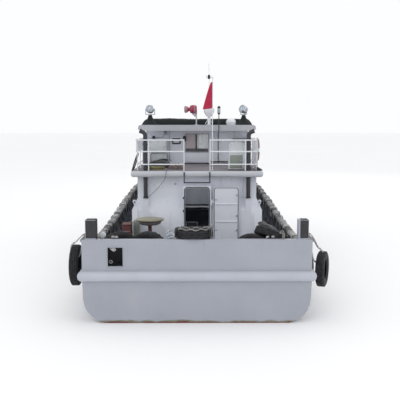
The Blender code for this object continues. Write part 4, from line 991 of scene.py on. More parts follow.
glazing = {"frame": 0.045, "gap": 0.0006, "proud": 0.014, "depth": 0.03, "pane": 0.006, "corner": 0.05}
up, astern = (0, 0, 1), (0, -1, 0)
hair = 0.0001  # a radius near zero, where a turned profile meets its axis


def frameRing(centre, half, width, low, high, finish, axis, corner):
    # a flat rounded frame round an opening: outer and inner outlines, each at both depths
    outer = roundedOutline(np.array(half), corner, 5) + centre
    inner = roundedOutline(np.array(half) - width, max(corner - width, 0.006), 5) + centre
    rows = [(outer, low), (outer, high), (inner, high), (inner, low)]
    grid = np.stack([np.insert(outline, axis, depth, axis=1) for outline, depth in rows])
    return fromSurface(grid, finish, True, True)


def wallFrame(x, z, grow, width, d, finish, corner):
    # a frame in a cross wall, round a range of x and z that is grown on every side
    centre = ((x[0] + x[1]) / 2, (z[0] + z[1]) / 2)
    half = ((x[1] - x[0]) / 2 + grow, (z[1] - z[0]) / 2 + grow)
    return frameRing(centre, half, width, sternY + d[0], sternY + d[1], finish, 1, corner)


def box(x, d, z, finish, radius=0.006, steps=2):
    # a rounded box between two values each of x, d and z
    return roundedBox((x[0], sternY + d[0], z[0]), (x[1], sternY + d[1], z[1]), finish, radius, steps)


def boxes(rows):
    # one rounded box for each row of the table
    return [box(*row) for row in rows]


def disc(radius, height, centre, axis, finish, sides, crown=0.0):
    # a round plate from the centre along the axis, its middle raised by the crown
    profile = [(hair, 0), (radius, 0), (radius, height), (hair, height + crown)]
    return lathe(profile, centre, axis, finish, sides)


def turnedParts(rows, centre, axis):
    # each row is a profile, its finish, its sides and whether it closes into a ring
    return [lathe(profile, centre, axis, *rest) for profile, *rest in rows]


def boltRing(centre, reach, radius):
    # six bolt heads, evenly round the centre
    turns = np.arange(6) * math.pi / 3
    spots = [centre + reach * np.array((math.cos(turn), math.sin(turn), 0)) for turn in turns]
    return [lathe([(radius, 0), (radius, 0.012)], spot, up, "steel", 6) for spot in spots]


def windowParts(centre, half, wall, outward, axis):
    # centre and half sizes in the wall's plane; wall is the outer face and outward its direction
    width, depth = glazing["frame"], glazing["depth"]
    near, far = sorted((wall + outward * glazing["gap"], wall + outward * glazing["proud"]))
    reach = np.array(half) + width * 0.6
    ring = frameRing(centre, reach, width, near, far, "seal", axis, glazing["corner"])
    low, high = sorted((wall - outward * depth, wall - outward * (depth + glazing["pane"])))
    outline = roundedOutline(np.array(half) - 0.002, 0.004, 2) + centre
    return [ring, plate(outline, low, high, "glass", axis)]


sidePanes = []
for side in (-1, 1):
    for index in range(5):
        centre = (sternY + 6.125 + 1.25 * index, 2.88)
        sidePanes += windowParts(centre, (0.375, 0.18), side * 1.70, side, 0)
    for index in range(2):
        centre = (sternY + 7.60 + 1.35 * index, 4.02)
        sidePanes += windowParts(centre, (0.55, 0.30), side * 1.68, side, 0)
    sidePanes += windowParts((side * 1.05, 2.88), (0.30, 0.18), sternY + 12.20, 1, 1)
for index in range(3):
    sidePanes += windowParts((1.03 * (index - 1), 4.02), (0.47, 0.32), sternY + 9.90, 1, 1)
addPiece("sideWindows", sidePanes)

aftWindow = {"x": (-0.39, 0.38), "z": (3.75, 4.35), "d": 6.70, "mullion": -0.025, "sill": 0.12}
(x0, x1), (z0, z1) = aftWindow["x"], aftWindow["z"]
face, bar, sill, head = aftWindow["d"], aftWindow["mullion"], z0 + aftWindow["sill"], z1 - 0.003
aftParts = [wallFrame((x0, x1), (z0, z1), 0.02, 0.034, (face - 0.016, face - 0.0006), "lining", 0.03)]
aftParts += boxes([
    ((x0 + 0.003, bar - 0.02), (face + 0.030, face + 0.036), (sill, head), "blind", 0.002, 1),
    ((bar + 0.10, x1 - 0.003), (face + 0.030, face + 0.036), (sill, head), "glass", 0.002, 1),
    ((bar - 0.022, bar + 0.024), (face + 0.005, face + 0.045), (z0 + 0.003, head), "seal", 0.004),
    ((bar + 0.026, bar + 0.098), (face + 0.015, face + 0.045), (sill, head), "plastic"),
    ((x0 + 0.003, x1 - 0.003), (face + 0.008, face + 0.05), (z0 + 0.003, z0 + 0.118), "darkLining", 0.008),
])
for height in (z0 + 0.035, z0 + 0.075):
    rod = [at(x, face + 0.004, height) for x in (x0 + 0.02, x1 - 0.02)]
    aftParts.append(tube(rod, 0.006, "lining", 6))
addPiece("aftWindow", aftParts)

print("windows ready")

# Fittings on the wheelhouse's after wall

wallItems = {
    "cabinet": ((-1.56, -0.99), (3.78, 4.16), 6.40),
    "unit": ((-1.53, -0.95), (3.372, 3.74), 6.36),
    "sign": ((-0.823, -0.537), (4.016, 4.207)),
    "conduit": -0.906, "speaker": -1.045, "lamp": -0.411,
}
(x0, x1), (z0, z1), face = wallItems["cabinet"]
wall = boxes([
    ((x0 + 0.02, x1 - 0.02), (face - 0.012, face - 0.0005), (z0 + 0.02, z1 - 0.03), "plastic", 0.005),
    ((x0 - 0.01, x1 + 0.01), (face - 0.02, 6.699), (z1 + 0.0005, z1 + 0.014), "mast", 0.004),
])
for height in (z0 + 0.08, z1 - 0.09):
    hinge = at(x0 + 0.022, face - 0.018, height)
    wall.append(lathe([(0.010, 0), (0.010, 0.05)], hinge, up, "steel", 10))
knob = [(0.020, 0), (0.020, 0.01), (0.008, 0.012), (0.008, 0.03)]
wall.append(lathe(knob, at(x1 - 0.07, face - 0.012, z0 + 0.17), astern, "steel", 16))
wall.append(box((x0 + 0.09, x0 + 0.17), (6.62, 6.6995), (4.20, 4.285), "darkLining", 0.012, 3))
cable = [at(x0 + 0.17, 6.69, 4.24), at(-1.12, 6.69, 4.245), at(-1.08, 6.69, 4.31)]
wall.append(tube(cable, 0.006, "seal", 6))

(x0, x1), (z0, z1), face = wallItems["unit"]
wall.append(wallFrame((x0, x1), (z0, z1), -0.012, 0.022, (face - 0.014, face - 0.0005), "seal", 0.03))
slatX, slatD = (x0 + 0.06, x1 - 0.06), (face - 0.008, face - 0.0005)
for z in z0 + 0.075 + 0.028 * np.arange(9):
    wall.append(box(slatX, slatD, (z, z + 0.010), "lining", 0.003, 1))

x = wallItems["speaker"]
speaker = [(hair, 0), (0.040, 0), (0.050, 0.02), (0.050, 0.075), (0.035, 0.12), (hair, 0.13)]
wall.append(lathe(speaker, at(x, 6.62, 4.325), up, "lining", 20))
wall.append(box((x - 0.04, x + 0.04), (6.57, 6.6995), (4.405, 4.425), "seal", 0.005))
wall.append(tube([at(x, 6.62, 4.41), at(x, 6.69, 4.44)], 0.010, "seal", 8))

(x0, x1), (z0, z1) = wallItems["sign"]
wall.append(box((x0 + 0.02, x1 - 0.02), (6.688, 6.6994), (z0 + 0.02, z1 - 0.02), "plastic", 0.003))
wall.append(wallFrame((x0, x1), (z0, z1), 0, 0.042, (6.676, 6.6994), "darkLining", 0.035))

x = wallItems["conduit"]
wall.append(tube([at(x, 6.682, z) for z in (4.44, 4.0, 3.55)], 0.011, "lining", 8))
bend = [at(x, 6.682, 3.55), at(x + 0.01, 6.67, 3.50), at(x + 0.06, 6.66, 3.47)]
wall.append(tube(smoothPath(bend, 8), 0.009, "seal", 8))
for z in (4.36, 4.12, 3.92, 3.70):
    wall.append(box((x - 0.022, x + 0.022), (6.668, 6.6995), (z, z + 0.018), "steel", 0.003, 1))

wall.append(box((-0.461, -0.362), (6.60, 6.6994), (4.108, 4.286), "darkLining", 0.03, 4))
for radius, inner, rim, z in ((0.038, 0.034, 0.008, 4.22), (0.024, 0.021, 0.006, 4.145)):
    dome = [(hair, 0), (radius, 0), (inner, rim), (hair, rim + 0.004)]
    wall.append(lathe(dome, at(wallItems["lamp"], 6.60, z), astern, "seal", 20))
wall += boxes([
    # painted shadow: a dark strip along the foot of the wall, where it meets the deck
    ((-0.42, 0.42), (6.662, 6.6994), (3.372, 3.398), "seal"),
    ((-0.36, 0.36), (6.682, 6.6994), (3.41, 3.70), "house", 0.008),
    ((1.15, 1.66), (6.45, 6.6994), (4.178, 4.198), "darkLining"),
])
for x in (1.22, 1.58):
    wall.append(tube([at(x, 6.48, 4.176), at(x, 6.69, 4.05)], 0.008, "seal", 6))
for z, d in ((3.385, 6.665), (3.44, 6.672)):
    points = [at(0.45, d, z), at(0.75, d - 0.01, z + 0.004), at(1.05, d, z)]
    wall.append(tube(smoothPath(points, 14), 0.014, "seal", 8))
for x in (-1.655, 1.655):
    wall.append(tube([at(x, 6.69, z) for z in (3.39, 4.0, 4.44)], 0.009, "mast", 6))
addPiece("wallFittings", wall)

# The box's shoulder bag: a padded cloth body between rounded ends

bagForm = {"x": (-1.50, -0.93), "d": 6.307, "z": 3.405, "thick": 0.045, "rise": 0.105, "arch": 0.05}
s, t = np.meshgrid(np.linspace(0, 1, 34), 2 * math.pi * np.arange(26) / 26, indexing="ij")
swell = np.sqrt(np.clip(1 - np.abs(2 * s - 1) ** 4, 0.02, 1))
bagX = bagForm["x"][0] + (bagForm["x"][1] - bagForm["x"][0]) * s
bagZ = bagForm["z"] + bagForm["rise"] * s + bagForm["arch"] * np.sin(math.pi * s)
bagZ += bagForm["thick"] * (0.35 + 0.65 * s) * swell * np.sin(t)
bagY = sternY + bagForm["d"] + 0.9 * bagForm["thick"] * (0.4 + 0.6 * s) * swell * np.cos(t)
bagY += 0.003 * np.sin(17 * s + 2 * np.sin(3 * t)) * np.sin(2 * t)
bagBody = fromSurface(np.stack([bagX, bagY, bagZ], -1), "bag", False, True, True)
bag = addPiece("darkBag", [bagBody], sharp=80)

print("wall fittings ready")

# Doorway, door and the after wall of the deckhouse

doorway = {"half": 0.369, "z": (1.224, 2.916), "face": 3.36}
entry = boxes([
    ((-0.78, 0.78), (5.262, 5.2995), (2.085, 2.125), "mast"),
    ((-1.40, 1.40), (5.275, 5.2995), (2.150, 2.185), "darkLining", 0.004),
    ((-0.52, 0.52), (5.270, 5.2995), (2.80, 2.84), "lining"),
])
for x in (-0.25, 0.13):
    entry.append(box((x - 0.008, x + 0.008), (5.285, 5.2995), (2.19, 2.80), "lining", 0.003, 1))
entry.append(wallFrame((-0.325, 0.015), (1.44, 1.76), 0, 0.014, (4.40, 4.425), "lining", 0.02))
entry.append(box((-0.31, 0.0), (4.405, 4.418), (1.455, 1.745), "darkLining", 0.005))
for x in (-0.29, -0.02):
    entry.append(tube([at(x, 4.43, 1.104), at(x, 4.43, 1.62)], 0.011, "seal", 8))
half, face = doorway["half"], doorway["face"]
entry.append(wallFrame((-half, half), doorway["z"], 0, 0.022, (face - 0.0018, face - 0.0004), "seal", 0.11))
for z in (1.55, 2.23, 2.60):
    entry.append(box((-0.405, -0.372), (3.335, 3.3595), (z - 0.03, z + 0.03), "seal", 0.008))
addPiece("doorwayFittings", entry)

leafForm = {"x": (0.463, 1.185), "z": (1.265, 2.91)}
(x0, x1), (z0, z1) = leafForm["x"], leafForm["z"]
back = float(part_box("aft_door")[0][1]) - sternY
sunk = back + 0.004
leaf = [
    wallFrame((x0, x1), (z0, z1), -0.012, 0.020, (back - 0.0016, sunk), "seal", 0.08),
    wallFrame((x0, x1), (z0, z1), -0.040, 0.034, (back - 0.004, sunk), "house", 0.06),
]
for z in (1.93, 2.43):
    leaf.append(box((x0 + 0.05, x1 - 0.05), (back - 0.022, sunk), (z - 0.016, z + 0.016), "house", 0.008))
for z in (1.69, 2.10, 2.69):
    leaf.append(box((x1 - 0.082, x1 - 0.028), (back - 0.034, sunk), (z - 0.014, z + 0.014), "seal", 0.008))
    leaf.append(disc(0.016, 0.02, at(x1 - 0.055, back - 0.030, z), astern, "steel", 14, 0.004))
for z in (1.69, 2.56):
    leaf.append(box((x0 + 0.028, x0 + 0.11), (back - 0.014, sunk), (z - 0.02, z + 0.02), "lining"))
addPiece("doorFittings", leaf, rides="aft_door_leaf")

front = []
fore = float(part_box("front_door")[1][1]) - sternY
for z in (1.69, 2.10, 2.50):
    front.append(box((-0.335, -0.27), (fore - 0.004, fore + 0.03), (z - 0.014, z + 0.014), "seal", 0.008))
for z in (1.93, 2.43):
    front.append(box((-0.31, 0.31), (fore - 0.004, fore + 0.012), (z - 0.016, z + 0.016), "house"))
addPiece("frontDoorFittings", front, rides="front_door_leaf")

houseWall = [
    tube([at(1.308, 3.606, z) for z in (3.17, 2.95, 2.64)], 0.011, "mast", 8),
    box((1.28, 1.336), (3.585, 3.6195), (2.60, 2.66), "mast", 0.01),
    lathe([(0.030, 0), (0.030, 0.03), (0.012, 0.035)], at(-0.62, 3.62, 2.98), astern, "lining", 16),
    box((-1.18, -0.98), (3.60, 3.6195), (2.86, 3.00), "mast", 0.01),
]
lugForm = {"centre": (1.765, 2.465), "turn": math.radians(-24), "d": (3.40, 3.425)}
lug = roundedOutline((0.045, 0.080), 0.03, 5)
hole = roundedOutline((0.020, 0.042), 0.019, 5)
cosine, sine = math.cos(lugForm["turn"]), math.sin(lugForm["turn"])
spin = np.array(((cosine, -sine), (sine, cosine)))
near, far = (sternY + d for d in lugForm["d"])
for side in (-1, 1):
    rings = []
    for shape, y in ((lug, near), (lug, far), (hole, far), (hole, near)):
        placed = (shape @ spin.T + lugForm["centre"]) * (side, 1)
        rings.append(np.insert(placed, 1, y, axis=1))
    houseWall.append(fromSurface(np.stack(rings), "house", True, True))
for x in (-1.62, -1.2, -0.75, 0.75, 1.2, 1.62):
    houseWall.append(box((x - 0.006, x + 0.006), (3.411, 3.4195), (1.12, 2.22), "house", 0.003, 1))
addPiece("houseFittings", houseWall)

print("doorway and doors ready")

# Exhaust pipes: collars, clamps and a hollow bent end

pipeForm = {"x": 1.46, "d": 3.475, "collars": (2.60, 3.14, 3.415, 4.10), "tip": (0.150, 4.4896)}
collar = [(0.0605, 0), (0.070, 0.003), (0.070, 0.028), (0.0605, 0.031)]
mouth = [(0.052, -0.05), (0.0635, -0.045), (0.0645, 0.006), (0.052, 0.008), (0.048, -0.04), (hair, -0.042)]
pipes = []
for side in (-1, 1):
    x, d = side * pipeForm["x"], pipeForm["d"]
    out, tipZ = pipeForm["tip"]
    pipes += [lathe(collar, at(x, d, z), up, "charcoal", 28) for z in pipeForm["collars"]]
    pipes.append(lathe(mouth, at(x + side * out, d, tipZ), (side * 0.137, 0, 0.045), "charcoal", 28))
    pipes.append(disc(0.085, 0.014, at(x, d, 2.5612), up, "mast", 28))
    pipes += boltRing(at(x, d, 2.575), 0.073, 0.008)
addPiece("exhaustCollars", pipes)

# Rails: boards, stored ladder, lifebuoys and a hoop over the deck's edge

railX = 1.69
boards = boxes([
    ((-railX - 0.035, -railX - 0.021), (3.55, 6.05), (3.905, 4.235), "mast"),
    ((railX + 0.021, railX + 0.035), (3.50, 5.45), (3.42, 4.235), "mast"),
])
for d in 3.75 + 0.45 * np.arange(5):
    boards.append(box((-railX - 0.043, -railX - 0.034), (d, d + 0.16), (3.93, 4.21), "blind", 0.003, 1))
railTies = (
    (1, 0.042, (3.56, 4.55, 5.40), (3.55, 3.91, 4.23)),
    (-1, 0.048, (3.62, 4.6, 5.9), (3.91, 4.23)),
)
for side, outer, places, heights in railTies:
    for d in places:
        for z in heights:
            tie = ((railX + outer, z), (railX, z + 0.027), (railX - 0.024, z), (railX, z - 0.027))
            boards.append(loopRope([at(side * x, d, h) for x, h in tie], 0.005, "rope", 24))
fold = [(1.70, 3.3725), (1.872, 3.3725), (1.845, 3.40), (1.705, 3.475)]
boards.append(plate(fold, sternY + 3.45, sternY + 3.80, "darkLining"))
addPiece("railBoards", boards)

rack = []
for x in (-1.645, -1.505):
    rack.append(box((x - 0.012, x + 0.012), (4.86, 4.90), (3.371, 3.90), "lining", 0.004))
for z in 3.405 + 0.056 * np.arange(9):
    rack.append(box((-1.64, -1.51), (4.855, 4.905), (z, z + 0.024), "seal"))
addPiece("slattedRack", rack)


def arcPath(centre, reach, angle, second=up):
    # points at the reach from the centre, turned from straight ahead towards the second direction
    first, second = np.array((0, 1.0, 0)), np.array(second, float)
    return centre + (reach * np.cos(angle))[:, None] * first + (reach * np.sin(angle))[:, None] * second


buoyForm = {
    "reach": 0.285, "thick": 0.047, "strap": 0.0495, "line": 0.345, "places": ((4.20, 3.93), (5.02, 3.90)),
}
buoys = []
turn = 2 * math.pi * np.arange(56) / 56
for d, z in buoyForm["places"]:
    ring = at(railX + 0.075, d, z)
    buoys.append(tube(arcPath(ring, buoyForm["reach"], turn), buoyForm["thick"], "lifebuoy", 18, True))
    for quarter in range(4):
        angle = quarter * math.pi / 2 + np.linspace(-0.16, 0.16, 8)
        buoys.append(tube(arcPath(ring, buoyForm["reach"], angle), buoyForm["strap"], "mast", 18))
    sway = buoyForm["line"] + 0.012 * np.cos(4 * turn)
    buoys.append(tube(arcPath(ring, sway, turn), 0.006, "whiteRope", 6, True))
addPiece("lifebuoys", buoys)

hoopForm = {"centre": at(-1.80, 3.95, 3.545), "radius": 0.30, "thick": 0.020, "lean": (0.30, 0.0, 0.954)}
turn = 2 * math.pi * np.arange(64) / 64
hoop = arcPath(hoopForm["centre"], hoopForm["radius"], turn, unit(np.array(hoopForm["lean"])))
addPiece("edgeHoop", [tube(hoop, hoopForm["thick"], "seal", 10, True)])

print("rails dressed")

# Ropes and nets heaped on the upper deck, the wire down to the pipe

yellowForm = {
    "centre": (-1.16, 3.97), "half": (0.235, 0.235), "pitch": 0.125, "rise": 0.0285, "radius": 0.009,
    "layers": 3, "inner": 0.34, "level": 3.3805,
}


def coilPath():
    # oval turns whose size falls and grows again evenly, each sweep one rope higher than the last
    form = yellowForm
    turns = (1 - form["inner"]) / form["pitch"]
    t = np.linspace(0, turns * form["layers"], 900)
    sweep = np.minimum((t / turns).astype(int), form["layers"] - 1)
    part = t - sweep * turns
    size = np.where(sweep % 2 == 0, 1 - form["pitch"] * part, form["inner"] + form["pitch"] * part)
    climb = np.clip((part - turns + 0.5) / 0.5, 0, 1) * (sweep < form["layers"] - 1)
    angle = math.pi - 2 * math.pi * t
    x = form["centre"][0] + form["half"][0] * size * np.cos(angle)
    y = sternY + form["centre"][1] + form["half"][1] * size * np.sin(angle)
    return np.stack([x, y, form["level"] + form["rise"] * (sweep + climb)], -1)


coil = coilPath()
tied = at(-1.345, 3.366, 3.52)
leadPlaces = ((-1.338, 3.43, 3.455), (-1.35, 3.56, 3.386), (-1.378, 3.70, 3.3805), (-1.393, 3.84, 3.3805))
lead = smoothPath([tied, *(at(*place) for place in leadPlaces), coil[0]], 40)
yellowLine = np.vstack([lead[:-1], coil])
yellow = addPiece("yellowRope", [tube(yellowLine, yellowForm["radius"], "yellowRope", 8)])

wirePlaces = (
    (-0.96, 6.352, 3.45), (-0.93, 6.20, 3.392), (-0.87, 5.6, 3.378), (-0.845, 4.8, 3.378),
    (-0.85, 3.9, 3.378), (-0.855, 3.42, 3.380), (-0.86, 3.315, 3.366), (-0.87, 3.285, 3.31),
    (-0.885, 3.284, 3.20), (-0.93, 3.30, 3.10), (-1.03, 3.325, 2.97), (-1.18, 3.37, 2.80),
    (-1.33, 3.43, 2.66), (-1.397, 3.452, 2.625),
)
wirePoints = [at(*place) for place in wirePlaces]
wireLine = smoothPath(wirePoints, 260)
wire = addPiece("thinWire", [tube(wireLine, 0.006, "seal", 7)])


def mound(centre, half, height, lumps, finish, slope, rows=40, columns=48):
    # a low closed heap: a squashed dome whose height and outline carry seeded waves, on a slope
    rise, about = np.linspace(-math.pi / 2, math.pi / 2, rows), 2 * math.pi * np.arange(columns) / columns
    phi, theta = np.meshgrid(rise, about, indexing="ij")
    a, b, c = seed.uniform(0, 6, 3)
    waves = np.sin(5 * theta + a) * np.cos(3 * phi) + 0.6 * np.sin(9 * theta - 4 * phi + b)
    waves += 0.5 * np.sin(14 * phi + 6 * theta + c)
    reach = np.cos(phi) ** 0.7 * (1 + lumps * waves * np.cos(phi))
    top = np.clip(np.sin(phi), 0, 1) ** 0.8 * (1 + 1.2 * lumps * waves)
    x = centre[0] + half[0] * reach * np.cos(theta)
    y = centre[1] + half[1] * reach * np.sin(theta)
    z = centre[2] + height * np.where(phi > 0, top, 0.02 * np.sin(phi)) + slope * (x - centre[0])
    return fromSurface(np.stack([x, y, z], -1), finish, False, True, True)


# each heap: centre, half sizes, height, lumps, finish, slope and softness
heaps = {
    "netHeap": (at(-0.62, 4.05, 3.3725), (0.19, 0.24), 0.15, 0.13, "net", 0.0, 0.2),
    "darkBundle": (at(-1.12, 4.60, 3.3725), (0.36, 0.22), 0.21, 0.06, "bag", 0.0, 0.3),
    "tyreSack": (at(1.75, 0.67, 2.128), (0.27, 0.24), 0.125, 0.05, "bag", -0.49, 0.25),
}
for name, (*form, softness) in heaps.items():
    heap = addPiece(name, [mound(*form)], sharp=70)

print("ropes and heaps ready")

# Locker: pale rounded hood, front panel and a dark strip along its foot

locker = {"x": (0.91, 1.33), "front": 3.66}
(x0, x1), face = locker["x"], locker["front"]
lockerParts = boxes([
    ((x0 + 0.03, x1 - 0.03), (face - 0.010, face - 0.0005), (3.42, 3.80), "lockerFront", 0.008),
    ((x0 - 0.012, x1 + 0.012), (face - 0.018, 4.10), (3.8605, 3.88), "mast", 0.008),
    # a dark strip on the deck along the foot of the locker front
    ((x0 - 0.03, x1 + 0.03), (face - 0.08, face - 0.012), (3.3712, 3.392), "bag", 0.01),
])
lockerParts.append(disc(0.02, 0.012, at(x1 - 0.07, face - 0.010, 3.64), astern, "steel", 16, 0.002))
hood = roundedOutline((0.185, 0.125), 0.08, 6) + (1.12, 4.005)
hood[:, 1] = np.where(hood[:, 1] < 3.95, np.maximum(hood[:, 1], 3.882), hood[:, 1])
lockerParts.append(plate(hood, sternY + 3.76, sternY + 3.96, "plastic"))
lockerParts.append(box((0.94, 1.30), (3.752, 3.7595), (3.90, 3.912), "lining", 0.003, 1))
addPiece("lockerFittings", lockerParts)

# Basin, box and small things on the after deck

basin = {"centre": (-1.285, 2.62), "foot": 1.1035}
x, d = basin["centre"]
aftThings = turnedParts([
    ([
        (hair, 1.0115), (0.370, 1.0115), (0.3765, 1.008), (0.3765, 0.985), (0.3715, 0.985),
        (0.3715, 1.0072), (hair, 1.0072),
    ], "rimPaint", 56),
    ([
        (0.06, 0.845), (0.225, 0.852), (0.285, 0.880), (0.315, 0.925), (0.322, 0.955),
        (0.312, 0.956), (0.300, 0.925), (0.270, 0.893), (0.06, 0.862),
    ], "bowl", 56, True),
    # painted shadow: a dark ring just under the rim
    ([(0.3715, 0.968), (0.3765, 0.970), (0.3765, 0.9845), (0.3715, 0.9845)], "darkLining", 56, True),
], at(x, d, basin["foot"]), up)
stem = [(0.052, 0.10), (0.056, 0.12), (0.052, 0.82), (0.048, 0.83)]
aftThings.append(lathe(stem, at(x, d, 1.10), up, "redBox", 32))
aftThings += boltRing(at(x, d, 1.131), 0.12, 0.010)
aftThings.append(disc(0.028, 0.006, at(x, d, 2.006), up, "steel", 24))
aftThings += boxes([
    ((-2.05, -1.80), (2.62, 3.00), (1.1006, 1.93), "redBox", 0.015, 3),
    ((-2.06, -1.79), (2.61, 3.01), (1.9305, 1.958), "redBox", 0.010),
    ((-2.03, -1.82), (2.612, 2.6195), (1.42, 1.432), "steel", 0.003, 1),
    ((-2.03, -1.82), (2.612, 2.6195), (1.76, 1.772), "steel", 0.003, 1),
    ((-1.785, -1.62), (3.10, 3.40), (1.1006, 1.98), "lockerFront", 0.012, 3),
])
fitting = [(hair, 0), (0.062, 0), (0.075, 0.02), (0.078, 0.09), (0.060, 0.125), (hair, 0.135)]
aftThings.append(lathe(fitting, at(-2.25, 0.42, 2.04), (0, -1, 0.1), "plastic", 32))
aftThings.append(tube([at(-2.25, 0.44, 1.104), at(-2.25, 0.44, 1.99)], 0.022, "mast", 12))
addPiece("afterDeckThings", aftThings)

# Dark plates on the quarter posts, a frame round the freeing port, chain and lashings on the tyres

sternParts = []
for low, high in ((-2.598, -2.353), (2.412, 2.602)):
    sternParts.append(box((low, high), (0.0085, 0.0198), (2.034, 2.448), "seal", 0.004))
    sternParts.append(box((low + 0.01, high - 0.01), (0.03, 0.25), (2.4604, 2.468), "seal", 0.003, 1))
sternParts.append(box((-2.3795, -2.353), (0.022, 0.25), (2.0, 2.455), "seal", 0.003, 1))
freeingPort = {"x": (-2.094, -1.741), "z": (1.365, 1.812)}
frameDepth = (-0.010, -0.0004)
sternParts.append(wallFrame(freeingPort["x"], freeingPort["z"], 0.022, 0.020, frameDepth, "stern", 0.02))
addPiece("sternFittings", sternParts)


def chainLink(centre, along, across, size, thick):
    # a stadium-shaped ring of round bar
    turn = 2 * math.pi * np.arange(28) / 28
    along, across = unit(np.array(along, float)), unit(np.array(across, float))
    stretch = np.cos(turn) * size[0] + np.sign(np.cos(turn)) * size[1]
    path = np.array(centre) + along * stretch[:, None] + across * (np.sin(turn) * size[0] * 1.1)[:, None]
    return tube(path, thick, "steel", 8, True)


chain = []
for index in range(9):
    turn = 1.1 * index
    centre = at(
        -0.64 + 0.055 * math.cos(2 * turn), 0.14 + 0.05 * math.sin(1.7 * turn), 2.045 + 0.0135 * index,
    )
    along = (math.cos(turn), 0.5 * math.sin(2 * turn), 0.7 * math.sin(turn))
    across = np.cross(along, (0.2, 1.0, 0.3 * math.cos(turn)))
    chain.append(chainLink(centre, along, across, (0.030, 0.020), 0.011))
chain.append(disc(0.013, 0.085, at(-0.70, 0.10, 2.032), (1, 0.35, 0.1), "chrome", 12, 0.005))
addPiece("chain", chain)

flatTyre = {"x": -0.08, "d": 0.32, "z": 2.118, "radius": 0.437, "width": 0.218}


def tyreLashing(angle, thick, finish, slack=0.012):
    # a closed turn of rope round the section of the flat-lying tyre, at one angle of its ring
    outward = np.array((math.cos(angle), math.sin(angle), 0))
    centre = at(flatTyre["x"], flatTyre["d"], flatTyre["z"])
    section = (
        (1.0, 0.0), (0.97, 0.5), (0.80, 0.62), (0.62, 0.45),
        (0.54, 0.0), (0.62, -0.45), (0.80, -0.60), (0.97, -0.46),
    )
    points = []
    for share, level in section:
        reach = flatTyre["radius"] * share + (slack if share > 0.8 else -slack * 0.5)
        points.append(centre + outward * reach + np.array((0, 0, flatTyre["width"] * level)))
    return loopRope(points, thick, finish, 36)


bound = []
turnPlaces = ((-172, "rope"), (-160, "darkRope"), (-20, "rope"), (-8, "darkRope"), (-32, "darkRope"))
for degrees, finish in turnPlaces:
    bound.append(tyreLashing(math.radians(degrees), 0.012, finish))
arc = np.radians(np.linspace(-165, -15, 90))
arcRopes = (
    (0.120, 0.90, 7, "rope"), (0.130, 0.80, 11, "darkRope"),
    (0.150, 0.72, 5, "rope"), (0.142, 0.62, 8, "darkRope"),
)
for lift, shrink, waves, finish in arcRopes:
    reach = flatTyre["radius"] * (shrink + 0.05 * np.sin(waves * arc))
    path = np.stack([
        flatTyre["x"] + reach * np.cos(arc), sternY + flatTyre["d"] + reach * np.sin(arc),
        flatTyre["z"] + lift + 0.014 * np.sin((waves + 3) * arc),
    ], -1)
    bound.append(tube(path, 0.015, finish, 8))


def knot(x, d, z, offsets, thick, finish, count):
    # a closed rope through points set off from one place
    return loopRope([at(x + a, d + b, z + c) for a, b, c in offsets], thick, finish, count)


topKnot = ((-0.05, 0, 0.0), (0, -0.03, 0.035), (0.05, 0.01, 0.007), (0, 0.03, -0.010))
for x, d in ((-0.36, 0.12), (0.24, 0.10), (0.31, 0.16)):
    bound.append(knot(x, d, 2.255, topKnot, 0.018, "rope", 26))
tailPlaces = (
    (1.95, 0.10, 2.13), (1.97, 0.03, 2.20), (2.02, 0.0, 2.18), (2.035, -0.01, 2.08),
    (2.03, 0.02, 2.012), (2.00, 0.05, 2.012), (2.01, 0.03, 2.10), (1.98, 0.06, 2.16),
)
bound.append(loopRope([at(*place) for place in tailPlaces], 0.014, "rope", 60))
capKnot = ((-0.03, 0, 0), (0, -0.02, 0.028), (0.03, 0.005, 0.004), (0, 0.02, -0.012))
for x, d, z in ((-1.98, 0.14, 2.035), (-1.90, 0.15, 2.03), (1.66, 0.13, 2.03), (1.79, 0.14, 2.035)):
    bound.append(knot(x, d, z, capKnot, 0.013, "whiteRope", 24))
portKnot = ((-0.04, 0.066, 0), (0, 0.060, 0.035), (0.04, 0.066, 0), (0, 0.078, -0.035))
for x, z, finish in ((-1.99, 1.78, "whiteRope"), (-1.955, 1.755, "whiteRope"), (-2.03, 1.46, "rope")):
    bound.append(knot(x, 0, z, portKnot, 0.014, finish, 26))

# each quarter tyre hangs on two loops, given as distances from the middle and heights
quarterLoop = (
    (2.58, 2.005), (2.66, 2.022), (2.78, 2.0), (2.95, 1.83), (3.03, 1.775), (3.044, 1.56),
    (2.97, 1.47), (2.84, 1.52), (2.76, 1.80), (2.66, 1.925), (2.58, 1.93),
)
for side, drop in ((-1, 0.0), (1, -0.14)):
    for d, finish in ((0.50, "whiteRope"), (0.72, "rope")):
        points = []
        for reach, z in quarterLoop:
            x = side * reach
            points.append(at(x, d + 0.02 * math.sin(7 * x), z if z > 1.9 else z + drop))
        bound.append(loopRope(points, 0.014, finish, 44))
wheel = [
    (hair, -0.014), (0.30, -0.014), (0.335, -0.05), (0.340, -0.045),
    (0.335, 0.05), (0.330, 0.05), (0.295, 0.0), (hair, 0.0),
]
bound.append(lathe(wheel, at(-1.86, 0.60, 1.60), turned(24), "seal", 40))
addPiece("sternLashings", bound)

print("after deck ready")

# Roof gear: searchlight glass, mast head, lamp, horn

